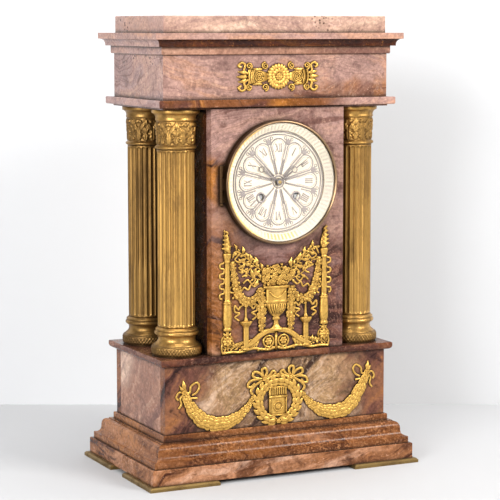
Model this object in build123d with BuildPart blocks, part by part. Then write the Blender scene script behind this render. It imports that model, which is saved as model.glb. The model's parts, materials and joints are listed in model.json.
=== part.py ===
from build123d import *
import os
from math import atan2, cos, degrees, hypot, pi, radians, sin, sqrt

# Portico mantel clock: a stone case on four columns with a round striking movement.
# The origin is at the middle of the footprint, the front faces -Y and Z is up.

# Plan of the stone case, with each slab's overhang beyond the pedestal block
body_depth = 133.0
foot_overhang = 28.0
plinth_overhang = 23.2
moulding_overhang = 19.8
moulding_top_overhang = 7.0
base_fillet_overhang = 3.0
pedestal_top_overhang = 6.6
pedestal_top_undercut = 4.2
architrave_overhang = 7.2
architrave_lip_inset = 6.4
cornice_bed_overhang = 2.8
cornice_overhang = 13.2
cornice_foot_overhang = 7.2
top_block_inset = 1.2

# Heights of the courses, from the feet up
foot_height = 4.5
plinth_height = 16.6
moulding_height = 23.4
moulding_band = 6.6
base_fillet_height = 7.0
pedestal_height = 71.0
pedestal_top_height = 7.8
pedestal_top_band = 3.2
column_height = 255.0
architrave_height = 9.6
architrave_lip = 1.8
frieze_height = 45.7
cornice_bed_height = 8.2
cornice_height = 13.6
cornice_band = 6.3
top_block_height = 17.6
edge_chamfer = 0.8

# Stone panels
panel_thickness = 12.0
joint_gap = 0.05
case_stile = 15.1
case_proud = 1.5
case_back_inset = 2.5

# Feet
foot_length = 78.0
foot_bevel = 1.6

# Columns
column_gap = 0.8
column_margin = 25.0
column_inset = 26.5
base_torus_radius = 26.6
base_torus_height = 9.6
base_scotia_radius = 18.9
base_scotia_height = 9.4
base_collar_radius = 23.2
base_collar_height = 8.0
base_fillet = 1.3
shaft_radius = 19.5
shaft_wall = 4.0
flute_count = 24
flute_radius = 2.1
flute_depth = 1.1
flute_end = 4.0
capital_height = 41.0
astragal_radius = 21.6
astragal_height = 4.6
foliage_radius = 20.0
foliage_bulge = 1.2
foliage_height = 25.0
abacus_radius = 25.0
abacus_height = 4.6
rod_radius = 2.5
rod_clearance = 0.3
rod_end = 12.0
nut_radius = 5.5
nut_height = 5.0
nut_sides = 6

# Dial opening, the same at the front and at the back
dial_drop = 76.8
opening_radius = 61.5
seat_flange = 3.2
seat_depth = 3.2
seat_wall = 1.7
collar_depth = 10.0
ledge_width = 4.6
ledge_thickness = 1.6
ledge_recess = 1.4
ring_clearance = 0.3
bezel_depth = 7.4
bezel_width = 2.4
bezel_round = 1.4
glass_lap = 1.0
glass_chamfer = 0.3
glass_thickness = 1.8
glass_setback = 1.2
sight_radius = 53.0
sight_gap = 0.8
sight_wall = 0.9
sight_fit = 0.1
hinge_radius = 2.0
hinge_length = 38.0
knuckle_count = 3
hinge_gap = 0.3
pin_radius = 0.9
pin_fit = 0.05
hinge_ball = 2.2
door_thickness = 2.0
knob_radius = 3.2
knob_height = 6.0
knob_inset = 7.0

# Dial and hands
dial_thickness = 0.8
dial_fit = 0.3
dial_hole_radius = 4.2
winding_hole_radius = 3.7
dial_foot_radius = 1.6
dial_foot_circle = 47.0
dial_foot_count = 3
hour_hand_length = 31.0
minute_hand_length = 46.0
hand_thickness = 0.6
hour_hand_gap = 1.2
hand_spacing = 1.8
hand_width = 3.0
hand_eye_radius = 3.4
hand_eye_wall = 0.9
hour_eye_share = 0.78
minute_eye_share = 0.46
hour_angle = 304.5
minute_angle = 54.0

# Movement frame
plate_radius = 50.0
plate_thickness = 2.5
plate_setback = 11.5
plate_spacing = 36.0
pillar_radius = 2.6
pillar_neck = 1.7
pillar_boss = 9.0
upper_pillar = (34.0, 30.0)
lower_pillar = (14.0, -44.0)
arbor_radius = 1.0
pivot_radius = 0.6
fine_arbor_radius = 0.5
fine_pivot_radius = 0.35
pivot_fit = 0.05
shoulder_gap = 0.3
strap_width = 10.0
strap_thickness = 1.2
strap_fit = 0.3

# Winding arbors and barrels
winding_x = 20.5
winding_drop = 15.6
winding_square = 4.4
barrel_arbor_radius = 2.4
barrel_radius = 16.0
barrel_front_gap = 3.0
barrel_fit = 0.15
ratchet_radius = 7.0
ratchet_depth = 1.1
ratchet_teeth = 20
ratchet_thickness = 1.4
saw_tip_place = 0.5
saw_tip_width = 0.05

# Wheelwork: tooth counts and modules
wheel_addendum = 0.9
pinion_addendum = 0.5
dedendum = 1.25
wheel_root_share = 0.26
wheel_tip_share = 0.11
pinion_root_share = 0.2
pinion_tip_share = 0.1
wheel_thickness = 1.2
pinion_extra = 0.8
rim_width = 1.8
hub_radius = 2.6
spoke_width = 1.4
great_teeth = 60
great_module = 0.5833
great_thickness = 1.8
intermediate_pinion = 8
intermediate_teeth = 48
intermediate_module = 0.53
centre_pinion = 8
centre_teeth = 72
centre_module = 0.36
third_pinion = 6
third_teeth = 78
third_module = 0.3
escape_pinion = 6
escape_teeth = 30
escape_radius = 10.0
escape_tooth_depth = 1.5
escape_lean = 0.3
escape_rise = 26.0
pin_wheel_pinion = 8
pin_wheel_teeth = 60
pin_wheel_module = 0.36
pin_wheel_angle = 110.0
strike_pin_count = 10
strike_pin_circle = 8.5
strike_pin_radius = 0.6
strike_pin_length = 3.0
stop_pinion = 6
stop_teeth = 60
stop_module = 0.3
stop_angle = 50.0
warning_pinion = 6
warning_teeth = 54
warning_module = 0.3
warning_angle = 150.0
fly_pinion = 6
fly_angle = 60.0
fly_half_width = 5.4
fly_thickness = 0.6
fly_length = 12.0
count_wheel_radius = 18.0
count_notch_depth = 2.2
count_notch_width = 1.6
cannon_leaves = 12
minute_wheel_teeth = 36
minute_module = 0.4
minute_wheel_pinion = 8
hour_wheel_teeth = 32
motion_fit = 0.15
motion_spacing = 3.6

# Places of the wheels between the plates, as distances behind the front plate's inner face
great_layer = 19.0
centre_layer = 22.6
strike_layer = 25.0
going_layer = 27.4
third_layer = 31.8
stop_layer = 17.6
warning_layer = 12.0
escape_layer = 8.0
fly_layer = 21.0
count_wheel_gap = 0.9

# Anchor, crutch, cock and pendulum
anchor_rise = 12.5
pallet_span = 8
pallet_clearance = 0.7
pallet_width = 0.8
anchor_arm = 2.2
pallet_shoulder = 3.5
anchor_hub_radius = 2.0
crutch_gap = 3.7
crutch_thickness = 1.2
crutch_width = 2.4
crutch_length = 31.0
crutch_slot = 0.4
cock_height = 7.5
cock_thickness = 2.0
cock_width = 28.0
cock_depth = 10.0
cock_foot = 5.0
suspension_gap = 4.5
spring_thickness = 0.4
spring_width = 4.0
spring_length = 8.0
rod_thickness = 1.0
pendulum_length = 147.0
bob_radius = 17.0
bob_thickness = 9.0
bob_bulge_share = 0.7
rating_nut_radius = 3.4
rating_nut_height = 3.0
rod_tail = 8.0

# Bell and hammer
bell_radius = 26.0
bell_depth = 19.0
bell_wall = 1.4
bell_x = -24.0
bell_drop = 16.0
bell_mouth_gap = 19.5
bell_post_radius = 2.2
bell_nut_radius = 3.6
bell_nut_height = 3.0
hammer_x = -38.0
hammer_rise = 14.5
hammer_head_radius = 2.6
hammer_head_length = 6.0
hammer_stand_off = 1.9
hammer_arm = 2.0
hammer_tail_gap = 0.45

# Mounts: reliefs and places measured up from the course that each one stands on
mount_relief = 2.6
mount_height = 5.0
urn_height = 7.0
urn_mount_x = -3.0
frieze_rosette_radius = 13.8
frieze_rosette_taper = 45.0
frieze_shell_start = 12.0
frieze_shell_shoulder = 24.0
frieze_shell_end = 35.0
frieze_shell_half = 7.7
frieze_scroll_radius = 3.4
frieze_scroll_rise = 11.6
frieze_scroll_places = (13.6, 32.6)
frieze_scroll_stem = 2.4
frieze_leaf_end = 48.0
frieze_leaf_bow = 3.4
torch_x = 56.5
torch_top = 131.0
torch_shaft_radius = 2.9
torch_foot_radius = 5.0
torch_foot_rise = 26.0
torch_body_radius = 4.8
torch_body_rise = 38.0
torch_knop_radius = 3.6
torch_knop_rise = 56.0
torch_cup_radius = 4.5
torch_cup_rise = 101.0
torch_flame_radius = 5.0
torch_flame_rise = 112.0
rosette_radius = 6.3
rosette_rise = 14.5
urn_rim_radius = 15.4
urn_rim_rise = 68.2
urn_bowl_radius = 12.0
urn_bowl_rise = 56.0
urn_bowl_foot_rise = 37.4
urn_stem_radius = 2.6
urn_stem_rise = 33.0
urn_foot_radius = 8.4
urn_foot_rise = 23.6
urn_foot_height = 1.6
flower_half = 19.5
flower_height = 23.0
branch_start = (14.0, 80.0)
branch_end = (49.0, 108.0)
branch_bow = 5.0
swag_end = (51.5, 98.0)
swag_low = (34.8, 53.5)
swag_start = (18.0, 70.0)
swag_thickness = 8.0
torchere_x = 35.0
torchere_half = 3.0
torchere_cup_half = 6.2
torchere_cup_rise = 33.0
torchere_top = 54.0
torchere_foot_rise = 5.0
drop_x = 17.6
drop_width = 8.0
drop_foot = 22.0
roundel_x = 8.7
roundel_rise = 11.2
roundel_radius = 6.5
roundel_wall = 1.5
arm_root_x = 13.0
arm_root_rise = 20.0
arm_end = 62.6
arm_end_rise = 8.0
arm_waist = 44.0
arm_waist_rise = 5.6
arm_foot = 2.0
wreath_rise = 25.2
wreath_half_width = 27.4
wreath_half_height = 25.0
wreath_opening = 18.3
wreath_step = 1.6
quiver_width = 20.6
quiver_top = 15.4
quiver_bottom = 15.4
quiver_flutes = 5
garland_inner_x = 27.4
garland_outer_x = 108.0
garland_low_x = 68.0
garland_inner_rise = 32.0
garland_outer_rises = (46.0, 50.0)
garland_low_rise = 6.5
garland_thickness = 13.0
garland_tip = 3.6
bow_length = 14.0
bow_width = 7.0
bow_wall = 1.6
garland_bow_angles = (145.0, 75.0, -20.0, -80.0)
wreath_knot_x = 14.9
wreath_knot_rise = 17.0
wreath_bow_length = 21.0
wreath_bow_angles = (100.0, 30.0, -12.0)

# Heights worked out from the courses
plinth_z = foot_height
moulding_z = plinth_z + plinth_height
base_fillet_z = moulding_z + moulding_height
pedestal_z = base_fillet_z + base_fillet_height
pedestal_top_z = pedestal_z + pedestal_height
column_z = pedestal_top_z + pedestal_top_height
architrave_z = column_z + column_height
frieze_z = architrave_z + architrave_height
cornice_bed_z = frieze_z + frieze_height
cornice_z = cornice_bed_z + cornice_bed_height
top_block_z = cornice_z + cornice_height
half_pi = pi / 2

# Plan worked out from the opening, the case and the columns
seat_radius = opening_radius + seat_flange
bezel_radius = seat_radius - ring_clearance
bezel_opening = bezel_radius - bezel_width
glass_radius = bezel_opening + glass_lap
case_width = 2 * (opening_radius + case_stile)
column_x = case_width / 2 + column_gap + base_torus_radius
column_y = body_depth / 2 - column_inset
body_width = 2 * (column_x + column_margin)
body_front_y = -body_depth / 2
case_front_y = body_front_y - case_proud
case_back_y = body_depth / 2 - case_back_inset
front_plate_y = case_front_y + plate_setback
dial_centre_height = architrave_z - dial_drop
column_points = [(sx * column_x, sy * column_y) for sx in (-1, 1) for sy in (-1, 1)]

# Places along the movement, worked out from the plates
plate_inner_y = front_plate_y + plate_thickness
back_plate_y = plate_inner_y + plate_spacing
back_plate_rear_y = back_plate_y + plate_thickness
dial_y = case_front_y + ledge_recess
dial_front_y = dial_y - dial_thickness
hour_hand_y = dial_front_y - hour_hand_gap
minute_hand_y = hour_hand_y - hand_spacing
hinge_x = seat_radius + hinge_radius + ring_clearance


def save(builder, name):
    """Label a finished piece and write it."""
    builder.part.label = name
    export_step(builder.part, f"parts/{name}.step")


def arbor_plane(centre, y):
    """A plane square to Y at a point of the movement, facing the front."""
    origin = (centre[0], y, dial_centre_height + centre[1])
    return Plane(origin=origin, x_dir=(1, 0, 0), z_dir=(0, -1, 0))


def front_plane(y, x=0.0):
    """A plane square to Y over the whole clock, facing the front."""
    return Plane(origin=(x, y, 0), x_dir=(1, 0, 0), z_dir=(0, -1, 0))


def disc(radius, centre, y_front, y_back, mode=Mode.ADD):
    """A round piece along Y between two places."""
    with BuildSketch(arbor_plane(centre, y_back)) as outline:
        Circle(radius)
    extrude(outline.sketch, amount=y_back - y_front, mode=mode)


def slab(width, depth, bottom, height):
    """A plain rectangular slab about the middle of the clock."""
    with BuildSketch(Plane.XY.offset(bottom)) as outline:
        Rectangle(width, depth)
    extrude(outline.sketch, amount=height)


def moulded(edge, overhang, bottom):
    """A slab whose edge profile runs round all four sides with mitred corners."""
    reach = body_width
    for plane, half, mode in (
        (Plane.XZ, body_width / 2 + overhang, Mode.ADD),
        (Plane.YZ, body_depth / 2 + overhang, Mode.INTERSECT),
    ):
        with BuildSketch(plane) as outline:
            with BuildLine():
                edge(half, bottom)
                mirror(about=Plane.YZ)
            make_face()
        extrude(outline.sketch, amount=reach, both=True, mode=mode)


def cyma(start, end):
    """An S curve between two corners, level at both and upright halfway."""
    middle = ((start[0] + end[0]) / 2, (start[1] + end[1]) / 2)
    Bezier(start, (middle[0], start[1]), middle)
    Bezier(middle, (middle[0], end[1]), end)


def moulding_edge(half, bottom):
    """Upright band, then an ogee up to a narrow top fillet."""
    top_half = half - moulding_overhang + moulding_top_overhang
    top = bottom + moulding_height
    Polyline((0, bottom), (half, bottom), (half, bottom + moulding_band))
    cyma((half, bottom + moulding_band), (top_half, top - edge_chamfer))
    Polyline((top_half, top - edge_chamfer), (top_half, top), (0, top))


def pedestal_top_edge(half, bottom):
    """Ovolo underneath and an upright band above."""
    top = bottom + pedestal_top_height
    band = top - pedestal_top_band
    Line((0, bottom), (half - pedestal_top_undercut, bottom))
    Bezier((half - pedestal_top_undercut, bottom), (half, bottom + edge_chamfer), (half, band))
    Polyline((half, band), (half, top - edge_chamfer), (half - edge_chamfer, top), (0, top))


def architrave_edge(half, bottom):
    """Narrow lower lip under a rounded nose."""
    top = bottom + architrave_height
    nose = bottom + architrave_lip
    inner = half - architrave_lip_inset
    Polyline((0, bottom), (inner, bottom), (inner, nose), (half - architrave_lip, nose))
    Bezier((half - architrave_lip, nose), (half, nose), (half, nose + architrave_lip))
    shoulder = top - edge_chamfer
    Polyline((half, nose + architrave_lip), (half, shoulder), (half - edge_chamfer, top), (0, top))


def cornice_edge(half, bottom):
    """Cove from the narrow foot out to an upright band."""
    foot = half - cornice_overhang + cornice_foot_overhang
    top = bottom + cornice_height
    band = top - cornice_band
    Polyline((0, bottom), (foot, bottom), (foot, bottom + edge_chamfer))
    Bezier((foot, bottom + edge_chamfer), (foot, band), (half, band))
    Polyline((half, band), (half, top), (0, top))


def panels_round(width, depth, bottom, height):
    """Four panels of a stone box: front and back over the full width, sides between them."""
    across = depth / 2 - panel_thickness / 2
    along = width / 2 - panel_thickness / 2
    size = (width, panel_thickness, height)
    lift = bottom + height / 2
    return across, along, size, lift


def rod_holes(bottom, height):
    """Clearance holes for the four tie rods."""
    with BuildSketch(Plane.XY.offset(bottom)) as outline:
        with Locations(*column_points):
            Circle(rod_radius + rod_clearance)
    extrude(outline.sketch, amount=height, mode=Mode.SUBTRACT)


os.makedirs("parts", exist_ok=True)

# Stone courses of the base
with BuildPart() as plinth_slab:
    slab(body_width + 2 * plinth_overhang, body_depth + 2 * plinth_overhang, plinth_z, plinth_height)
    chamfer(plinth_slab.faces().sort_by(Axis.Z)[-1].edges(), edge_chamfer)
save(plinth_slab, "plinth_slab")

with BuildPart() as base_moulding:
    moulded(moulding_edge, moulding_overhang, moulding_z)
save(base_moulding, "base_moulding")

with BuildPart() as base_fillet_slab:
    slab(
        body_width + 2 * base_fillet_overhang,
        body_depth + 2 * base_fillet_overhang,
        base_fillet_z,
        base_fillet_height,
    )
    chamfer(base_fillet_slab.faces().sort_by(Axis.Z)[-1].edges(), edge_chamfer)
save(base_fillet_slab, "base_fillet")

# Pedestal box
ped_across, ped_along, ped_size, ped_lift = panels_round(
    body_width, body_depth, pedestal_z, pedestal_height
)
side_depth = body_depth - 2 * panel_thickness
for piece_name, side in (("pedestal_front", -1), ("pedestal_back", 1)):
    with BuildPart() as pedestal_panel:
        with Locations((0, side * ped_across, ped_lift)):
            Box(*ped_size)
    save(pedestal_panel, piece_name)

with BuildPart() as pedestal_sides:
    with Locations((-ped_along, 0, ped_lift), (ped_along, 0, ped_lift)):
        Box(panel_thickness, side_depth, pedestal_height)
save(pedestal_sides, "pedestal_sides")

with BuildPart() as pedestal_top:
    moulded(pedestal_top_edge, pedestal_top_overhang, pedestal_top_z)
    rod_holes(pedestal_top_z, pedestal_top_height)
save(pedestal_top, "pedestal_top")

# Central case: front and back panels with round openings, sides between them
case_depth = case_back_y - case_front_y
for piece_name, face_y in (("case_front", case_front_y), ("case_back", case_back_y - panel_thickness)):
    with BuildPart() as case_panel:
        with BuildSketch(front_plane(face_y + panel_thickness)):
            with Locations((0, column_z + column_height / 2)):
                Rectangle(case_width, column_height)
            with Locations((0, dial_centre_height)):
                Circle(opening_radius, mode=Mode.SUBTRACT)
        extrude(amount=panel_thickness)
    save(case_panel, piece_name)

with BuildPart() as case_sides:
    side_x = case_width / 2 - panel_thickness / 2
    side_y = (case_front_y + case_back_y) / 2
    side_lift = column_z + column_height / 2
    with Locations((-side_x, side_y, side_lift), (side_x, side_y, side_lift)):
        Box(panel_thickness, case_depth - 2 * panel_thickness, column_height)
save(case_sides, "case_sides")

# Entablature
with BuildPart() as architrave:
    moulded(architrave_edge, architrave_overhang, architrave_z)
    rod_holes(architrave_z, architrave_height)
save(architrave, "architrave")

fr_across, fr_along, fr_size, fr_lift = panels_round(body_width, body_depth, frieze_z, frieze_height)
with BuildPart() as frieze_panels:
    with Locations((0, -fr_across, fr_lift), (0, fr_across, fr_lift)):
        Box(*fr_size)
    with Locations((-fr_along, 0, fr_lift), (fr_along, 0, fr_lift)):
        Box(panel_thickness, side_depth - 2 * joint_gap, frieze_height)
save(frieze_panels, "frieze_panels")

with BuildPart() as cornice_bed:
    slab(
        body_width + 2 * cornice_bed_overhang,
        body_depth + 2 * cornice_bed_overhang,
        cornice_bed_z,
        cornice_bed_height,
    )
    chamfer(cornice_bed.faces().sort_by(Axis.Z)[0].edges(), edge_chamfer)
save(cornice_bed, "cornice_bed")

with BuildPart() as cornice:
    moulded(cornice_edge, cornice_overhang, cornice_z)
save(cornice, "cornice")

with BuildPart() as top_block:
    slab(
        body_width - 2 * top_block_inset,
        body_depth - 2 * top_block_inset,
        top_block_z,
        top_block_height,
    )
    chamfer(top_block.faces().sort_by(Axis.Z)[-1].edges(), edge_chamfer)
save(top_block, "top_block")

# Feet: square plates bevelled on their upper edges
with BuildPart() as corner_feet:
    foot_x = body_width / 2 + foot_overhang - foot_length / 2
    foot_y = body_depth / 2 + foot_overhang - foot_length / 2
    with BuildSketch(Plane.XY):
        with Locations(*[(sx * foot_x, sy * foot_y) for sx in (-1, 1) for sy in (-1, 1)]):
            Rectangle(foot_length, foot_length)
    extrude(amount=foot_height)
    chamfer(corner_feet.faces().filter_by(Axis.Z).group_by(Axis.Z)[-1].edges(), foot_bevel)
save(corner_feet, "corner_feet")

# Columns: turned base, fluted tube and turned capital, threaded on the tie rods
base_height = base_torus_height + base_scotia_height + base_collar_height + 2 * base_fillet
shaft_z = column_z + base_height
capital_z = architrave_z - capital_height
bore = rod_radius + rod_clearance

with BuildPart() as column_base:
    torus_top = column_z + base_torus_height
    scotia_z = torus_top + base_fillet
    scotia_top = scotia_z + base_scotia_height
    collar_z = scotia_top + base_fillet
    torus_inner = base_torus_radius - base_torus_height / 2
    collar_inner = base_collar_radius - base_collar_height / 2
    with BuildSketch(Plane.XZ):
        with BuildLine():
            Polyline((bore, shaft_z), (bore, column_z), (torus_inner, column_z))
            ThreePointArc(
                (torus_inner, column_z),
                (base_torus_radius, column_z + base_torus_height / 2),
                (torus_inner, torus_top),
            )
            Line((torus_inner, torus_top), (torus_inner, scotia_z))
            ThreePointArc(
                (torus_inner, scotia_z),
                (base_scotia_radius, (scotia_z + scotia_top) / 2),
                (collar_inner, scotia_top),
            )
            Line((collar_inner, scotia_top), (collar_inner, collar_z))
            ThreePointArc(
                (collar_inner, collar_z),
                (base_collar_radius, collar_z + base_collar_height / 2),
                (collar_inner, shaft_z),
            )
            Line((collar_inner, shaft_z), (bore, shaft_z))
        make_face()
    revolve(axis=Axis.Z)

with BuildPart() as column_shaft:
    flute_length = capital_z - shaft_z - 2 * flute_end
    with BuildSketch(Plane.XY.offset(shaft_z)):
        Circle(shaft_radius)
        Circle(shaft_radius - shaft_wall, mode=Mode.SUBTRACT)
    extrude(amount=capital_z - shaft_z)
    with BuildSketch(Plane.XY.offset(shaft_z + flute_end)):
        with PolarLocations(shaft_radius - flute_depth + flute_radius, flute_count):
            Circle(flute_radius)
    extrude(amount=flute_length, mode=Mode.SUBTRACT)

with BuildPart() as column_capital:
    foliage_z = capital_z + astragal_height
    foliage_top = foliage_z + foliage_height
    abacus_z = architrave_z - abacus_height
    astragal_inner = astragal_radius - astragal_height / 2
    with BuildSketch(Plane.XZ):
        with BuildLine():
            Polyline((bore, architrave_z), (bore, capital_z), (astragal_inner, capital_z))
            ThreePointArc(
                (astragal_inner, capital_z),
                (astragal_radius, capital_z + astragal_height / 2),
                (astragal_inner, foliage_z),
            )
            Line((astragal_inner, foliage_z), (foliage_radius, foliage_z))
            ThreePointArc(
                (foliage_radius, foliage_z),
                (foliage_radius + foliage_bulge, (foliage_z + foliage_top) / 2),
                (foliage_radius, foliage_top),
            )
            Line((foliage_radius, foliage_top), (shaft_radius, foliage_top))
            Bezier((shaft_radius, foliage_top), (shaft_radius, abacus_z), (abacus_radius, abacus_z))
            Polyline((abacus_radius, abacus_z), (abacus_radius, architrave_z), (bore, architrave_z))
        make_face()
    revolve(axis=Axis.Z)

for piece_name, single in (
    ("column_bases", column_base),
    ("column_shafts", column_shaft),
    ("column_capitals", column_capital),
):
    with BuildPart() as column_set:
        with Locations(*[(x, y, 0) for x, y in column_points]):
            add(single.part)
    save(column_set, piece_name)

with BuildPart() as column_tie_rods:
    rod_z = pedestal_top_z - rod_end
    rod_top = frieze_z + rod_end
    with BuildSketch(Plane.XY.offset(rod_z)):
        with Locations(*column_points):
            Circle(rod_radius)
    extrude(amount=rod_top - rod_z)
    for nut_z in (pedestal_top_z - nut_height, frieze_z):
        with BuildSketch(Plane.XY.offset(nut_z)):
            with Locations(*column_points):
                RegularPolygon(nut_radius, nut_sides)
        extrude(amount=nut_height)
save(column_tie_rods, "column_tie_rods")


# Front and back rings, with the same section, hinged at the viewer's left
def ring_frame(face_y, outward):
    """Planes for the ring work on a case face: the face itself and a radial section."""
    origin = (0, face_y, dial_centre_height)
    across = (-outward, 0, 0)
    face = Plane(origin=origin, x_dir=across, z_dir=(0, outward, 0))
    section = Plane(origin=origin, x_dir=across, z_dir=(0, 0, -1))
    return face, section


def hinge_barrel(face, depth, start, length):
    """One hinge knuckle with its bore, and the web that joins it to the ring beside it."""
    knuckle_plane = Plane(
        origin=face.from_local_coords((-hinge_x, start, depth)), x_dir=face.x_dir, z_dir=(0, 0, 1)
    )
    with BuildSketch(knuckle_plane) as outline:
        Circle(hinge_radius)
    extrude(outline.sketch, amount=length)


def hinge_web(face, start, length, low, high):
    """A leaf from the ring's rim out to the knuckle."""
    leaf = Plane(origin=face.from_local_coords((0, start, 0)), x_dir=face.x_dir, z_dir=(0, 0, 1))
    rim = sqrt(seat_radius**2 - (hinge_length / 2) ** 2) - seat_wall
    sign = leaf.y_dir.dot(face.z_dir)
    with BuildSketch(leaf) as outline:
        with Locations((-(hinge_x + rim) / 2, sign * (low + high) / 2)):
            Rectangle(hinge_x - rim, high - low)
    extrude(outline.sketch, amount=length)


def hinge_bore(face, depth):
    """The pin's hole through all the knuckles."""
    bore_plane = Plane(
        origin=face.from_local_coords((-hinge_x, -hinge_length / 2, depth)),
        x_dir=face.x_dir,
        z_dir=(0, 0, 1),
    )
    with BuildSketch(bore_plane) as outline:
        Circle(pin_radius + pin_fit)
    extrude(outline.sketch, amount=hinge_length, mode=Mode.SUBTRACT)


knuckle = hinge_length / knuckle_count
hinge_depth = seat_depth + ring_clearance / 2
collar_radius = opening_radius - ring_clearance
collar_inner_radius = collar_radius - seat_wall
ledge_inner_radius = collar_inner_radius - ledge_width


def seat_ring(face, section, axis, with_ledge):
    """Fixed ring: a flange on the stone, a collar in the opening and a ledge for the dial."""
    with BuildSketch(section) as outline:
        with BuildLine():
            Polyline(
                (collar_radius, -collar_depth),
                (collar_radius, 0),
                (seat_radius, 0),
                (seat_radius, seat_depth),
                (collar_inner_radius, seat_depth),
                (collar_inner_radius, -collar_depth),
                close=True,
            )
        make_face()
        if with_ledge:
            ledge_middle = (collar_inner_radius + ledge_inner_radius) / 2
            with Locations((ledge_middle, -ledge_recess - ledge_thickness / 2)):
                Rectangle(ledge_width, ledge_thickness)
    revolve(outline.sketch, axis=axis)
    for start in (-hinge_length / 2, hinge_length / 2 - knuckle):
        hinge_barrel(face, hinge_depth, start, knuckle)
        hinge_web(face, start, knuckle, 0, seat_depth)


front_face, front_section = ring_frame(case_front_y, -1)
back_face, back_section = ring_frame(case_back_y, 1)
front_axis = Axis(front_face.origin, front_face.z_dir)
back_axis = Axis(back_face.origin, back_face.z_dir)


def moving_knuckle_room(face):
    """Clear the middle knuckle's turning room out of a fixed ring."""
    room = Plane(
        origin=face.from_local_coords((-hinge_x, -knuckle / 2 - hinge_gap, hinge_depth)),
        x_dir=face.x_dir,
        z_dir=(0, 0, 1),
    )
    with BuildSketch(room) as outline:
        Circle(hinge_radius + hinge_gap)
    extrude(outline.sketch, amount=knuckle + 2 * hinge_gap, mode=Mode.SUBTRACT)


with BuildPart() as bezel_seat:
    seat_ring(front_face, front_section, front_axis, True)
    hinge_bore(front_face, hinge_depth)
    moving_knuckle_room(front_face)
save(bezel_seat, "bezel_seat")

with BuildPart() as back_bezel:
    seat_ring(back_face, back_section, back_axis, False)
    hinge_bore(back_face, hinge_depth)
    moving_knuckle_room(back_face)
save(back_bezel, "back_bezel")


def fixed_knuckle_rooms(face):
    """Clear the turning room of the two fixed knuckles out of a moving ring."""
    for start in (-hinge_length / 2 - hinge_gap, hinge_length / 2 - knuckle - hinge_gap):
        room = Plane(
            origin=face.from_local_coords((-hinge_x, start, hinge_depth)), x_dir=face.x_dir, z_dir=(0, 0, 1)
        )
        with BuildSketch(room) as outline:
            Circle(hinge_radius + hinge_gap)
        extrude(outline.sketch, amount=knuckle + 2 * hinge_gap, mode=Mode.SUBTRACT)


bezel_low = seat_depth + ring_clearance
bezel_high = bezel_low + bezel_depth
glass_high = bezel_high - glass_setback
glass_low = glass_high - glass_thickness
bezel_inside = glass_radius + ring_clearance
sight_high = glass_low - sight_fit
sight_low = dial_thickness - ledge_recess + sight_gap
moving_start = -knuckle / 2 + hinge_gap
moving_length = knuckle - 2 * hinge_gap

# Bezel: a narrow rim with a sloping sight ring under the glass
with BuildPart() as front_bezel:
    with BuildSketch(front_section):
        with BuildLine():
            Polyline(
                (bezel_inside, glass_high),
                (bezel_inside, bezel_low),
                (bezel_radius, bezel_low),
                (bezel_radius, bezel_high - bezel_round),
            )
            Bezier(
                (bezel_radius, bezel_high - bezel_round),
                (bezel_radius, bezel_high),
                (bezel_radius - bezel_round, bezel_high),
            )
            Polyline(
                (bezel_radius - bezel_round, bezel_high),
                (bezel_opening, glass_high + glass_chamfer),
                (bezel_opening, glass_high),
                (bezel_inside, glass_high),
            )
        make_face()
    revolve(axis=front_axis)
    with BuildSketch(front_section):
        with BuildLine():
            Polyline(
                (sight_radius, sight_low),
                (bezel_opening, sight_high),
                (bezel_inside + pin_fit, sight_high),
                (bezel_inside + pin_fit, sight_high - sight_wall),
                ((bezel_opening + bezel_inside) / 2, sight_high - sight_wall),
                (sight_radius + sight_wall, sight_low),
                close=True,
            )
        make_face()
    revolve(axis=front_axis)
    hinge_barrel(front_face, hinge_depth, moving_start, moving_length)
    hinge_web(front_face, moving_start, moving_length, bezel_low, bezel_low + hinge_radius)
    fixed_knuckle_rooms(front_face)
    hinge_bore(front_face, hinge_depth)
save(front_bezel, "front_bezel")

with BuildPart() as bezel_glass:
    with BuildSketch(front_face.offset(glass_low)):
        Circle(glass_radius)
    extrude(amount=glass_thickness)
    chamfer(bezel_glass.faces().sort_by(Axis.Y)[0].edges(), glass_chamfer)
save(bezel_glass, "bezel_glass")

with BuildPart() as back_door:
    door_low = seat_depth + ring_clearance
    with BuildSketch(back_face.offset(door_low)):
        Circle(bezel_radius)
    extrude(amount=door_thickness)
    chamfer(back_door.faces().sort_by(Axis.Y)[-1].edges(), edge_chamfer)
    hinge_barrel(back_face, hinge_depth, moving_start, moving_length)
    hinge_web(back_face, moving_start, moving_length, door_low, door_low + door_thickness)
    fixed_knuckle_rooms(back_face)
    hinge_bore(back_face, hinge_depth)
    with BuildSketch(back_face.offset(door_low + door_thickness)):
        with Locations((bezel_radius - knob_inset, 0)):
            Circle(knob_radius)
    extrude(amount=knob_height)
save(back_door, "back_door")

with BuildPart() as hinge_pins:
    for face in (front_face, back_face):
        pin_plane = Plane(
            origin=face.from_local_coords((-hinge_x, -hinge_length / 2, hinge_depth)),
            x_dir=face.x_dir,
            z_dir=(0, 0, 1),
        )
        with BuildSketch(pin_plane):
            Circle(pin_radius)
        extrude(amount=hinge_length)
        with Locations(face.from_local_coords((-hinge_x, -hinge_length / 2 - hinge_ball, hinge_depth))):
            Sphere(hinge_ball + pin_fit)
save(hinge_pins, "hinge_pins")

# Dial on three feet that stand on the front plate
winding_points = [(-winding_x, -winding_drop), (winding_x, -winding_drop)]
dial_radius = collar_inner_radius - dial_fit
with BuildPart() as dial:
    with BuildSketch(arbor_plane((0, 0), dial_y)):
        Circle(dial_radius)
        Circle(dial_hole_radius, mode=Mode.SUBTRACT)
        with Locations(*winding_points):
            Circle(winding_hole_radius, mode=Mode.SUBTRACT)
    extrude(amount=dial_thickness)
    with BuildSketch(arbor_plane((0, 0), front_plate_y)):
        with PolarLocations(dial_foot_circle, dial_foot_count, start_angle=90):
            Circle(dial_foot_radius)
    extrude(amount=front_plate_y - dial_y)
save(dial, "dial")


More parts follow.
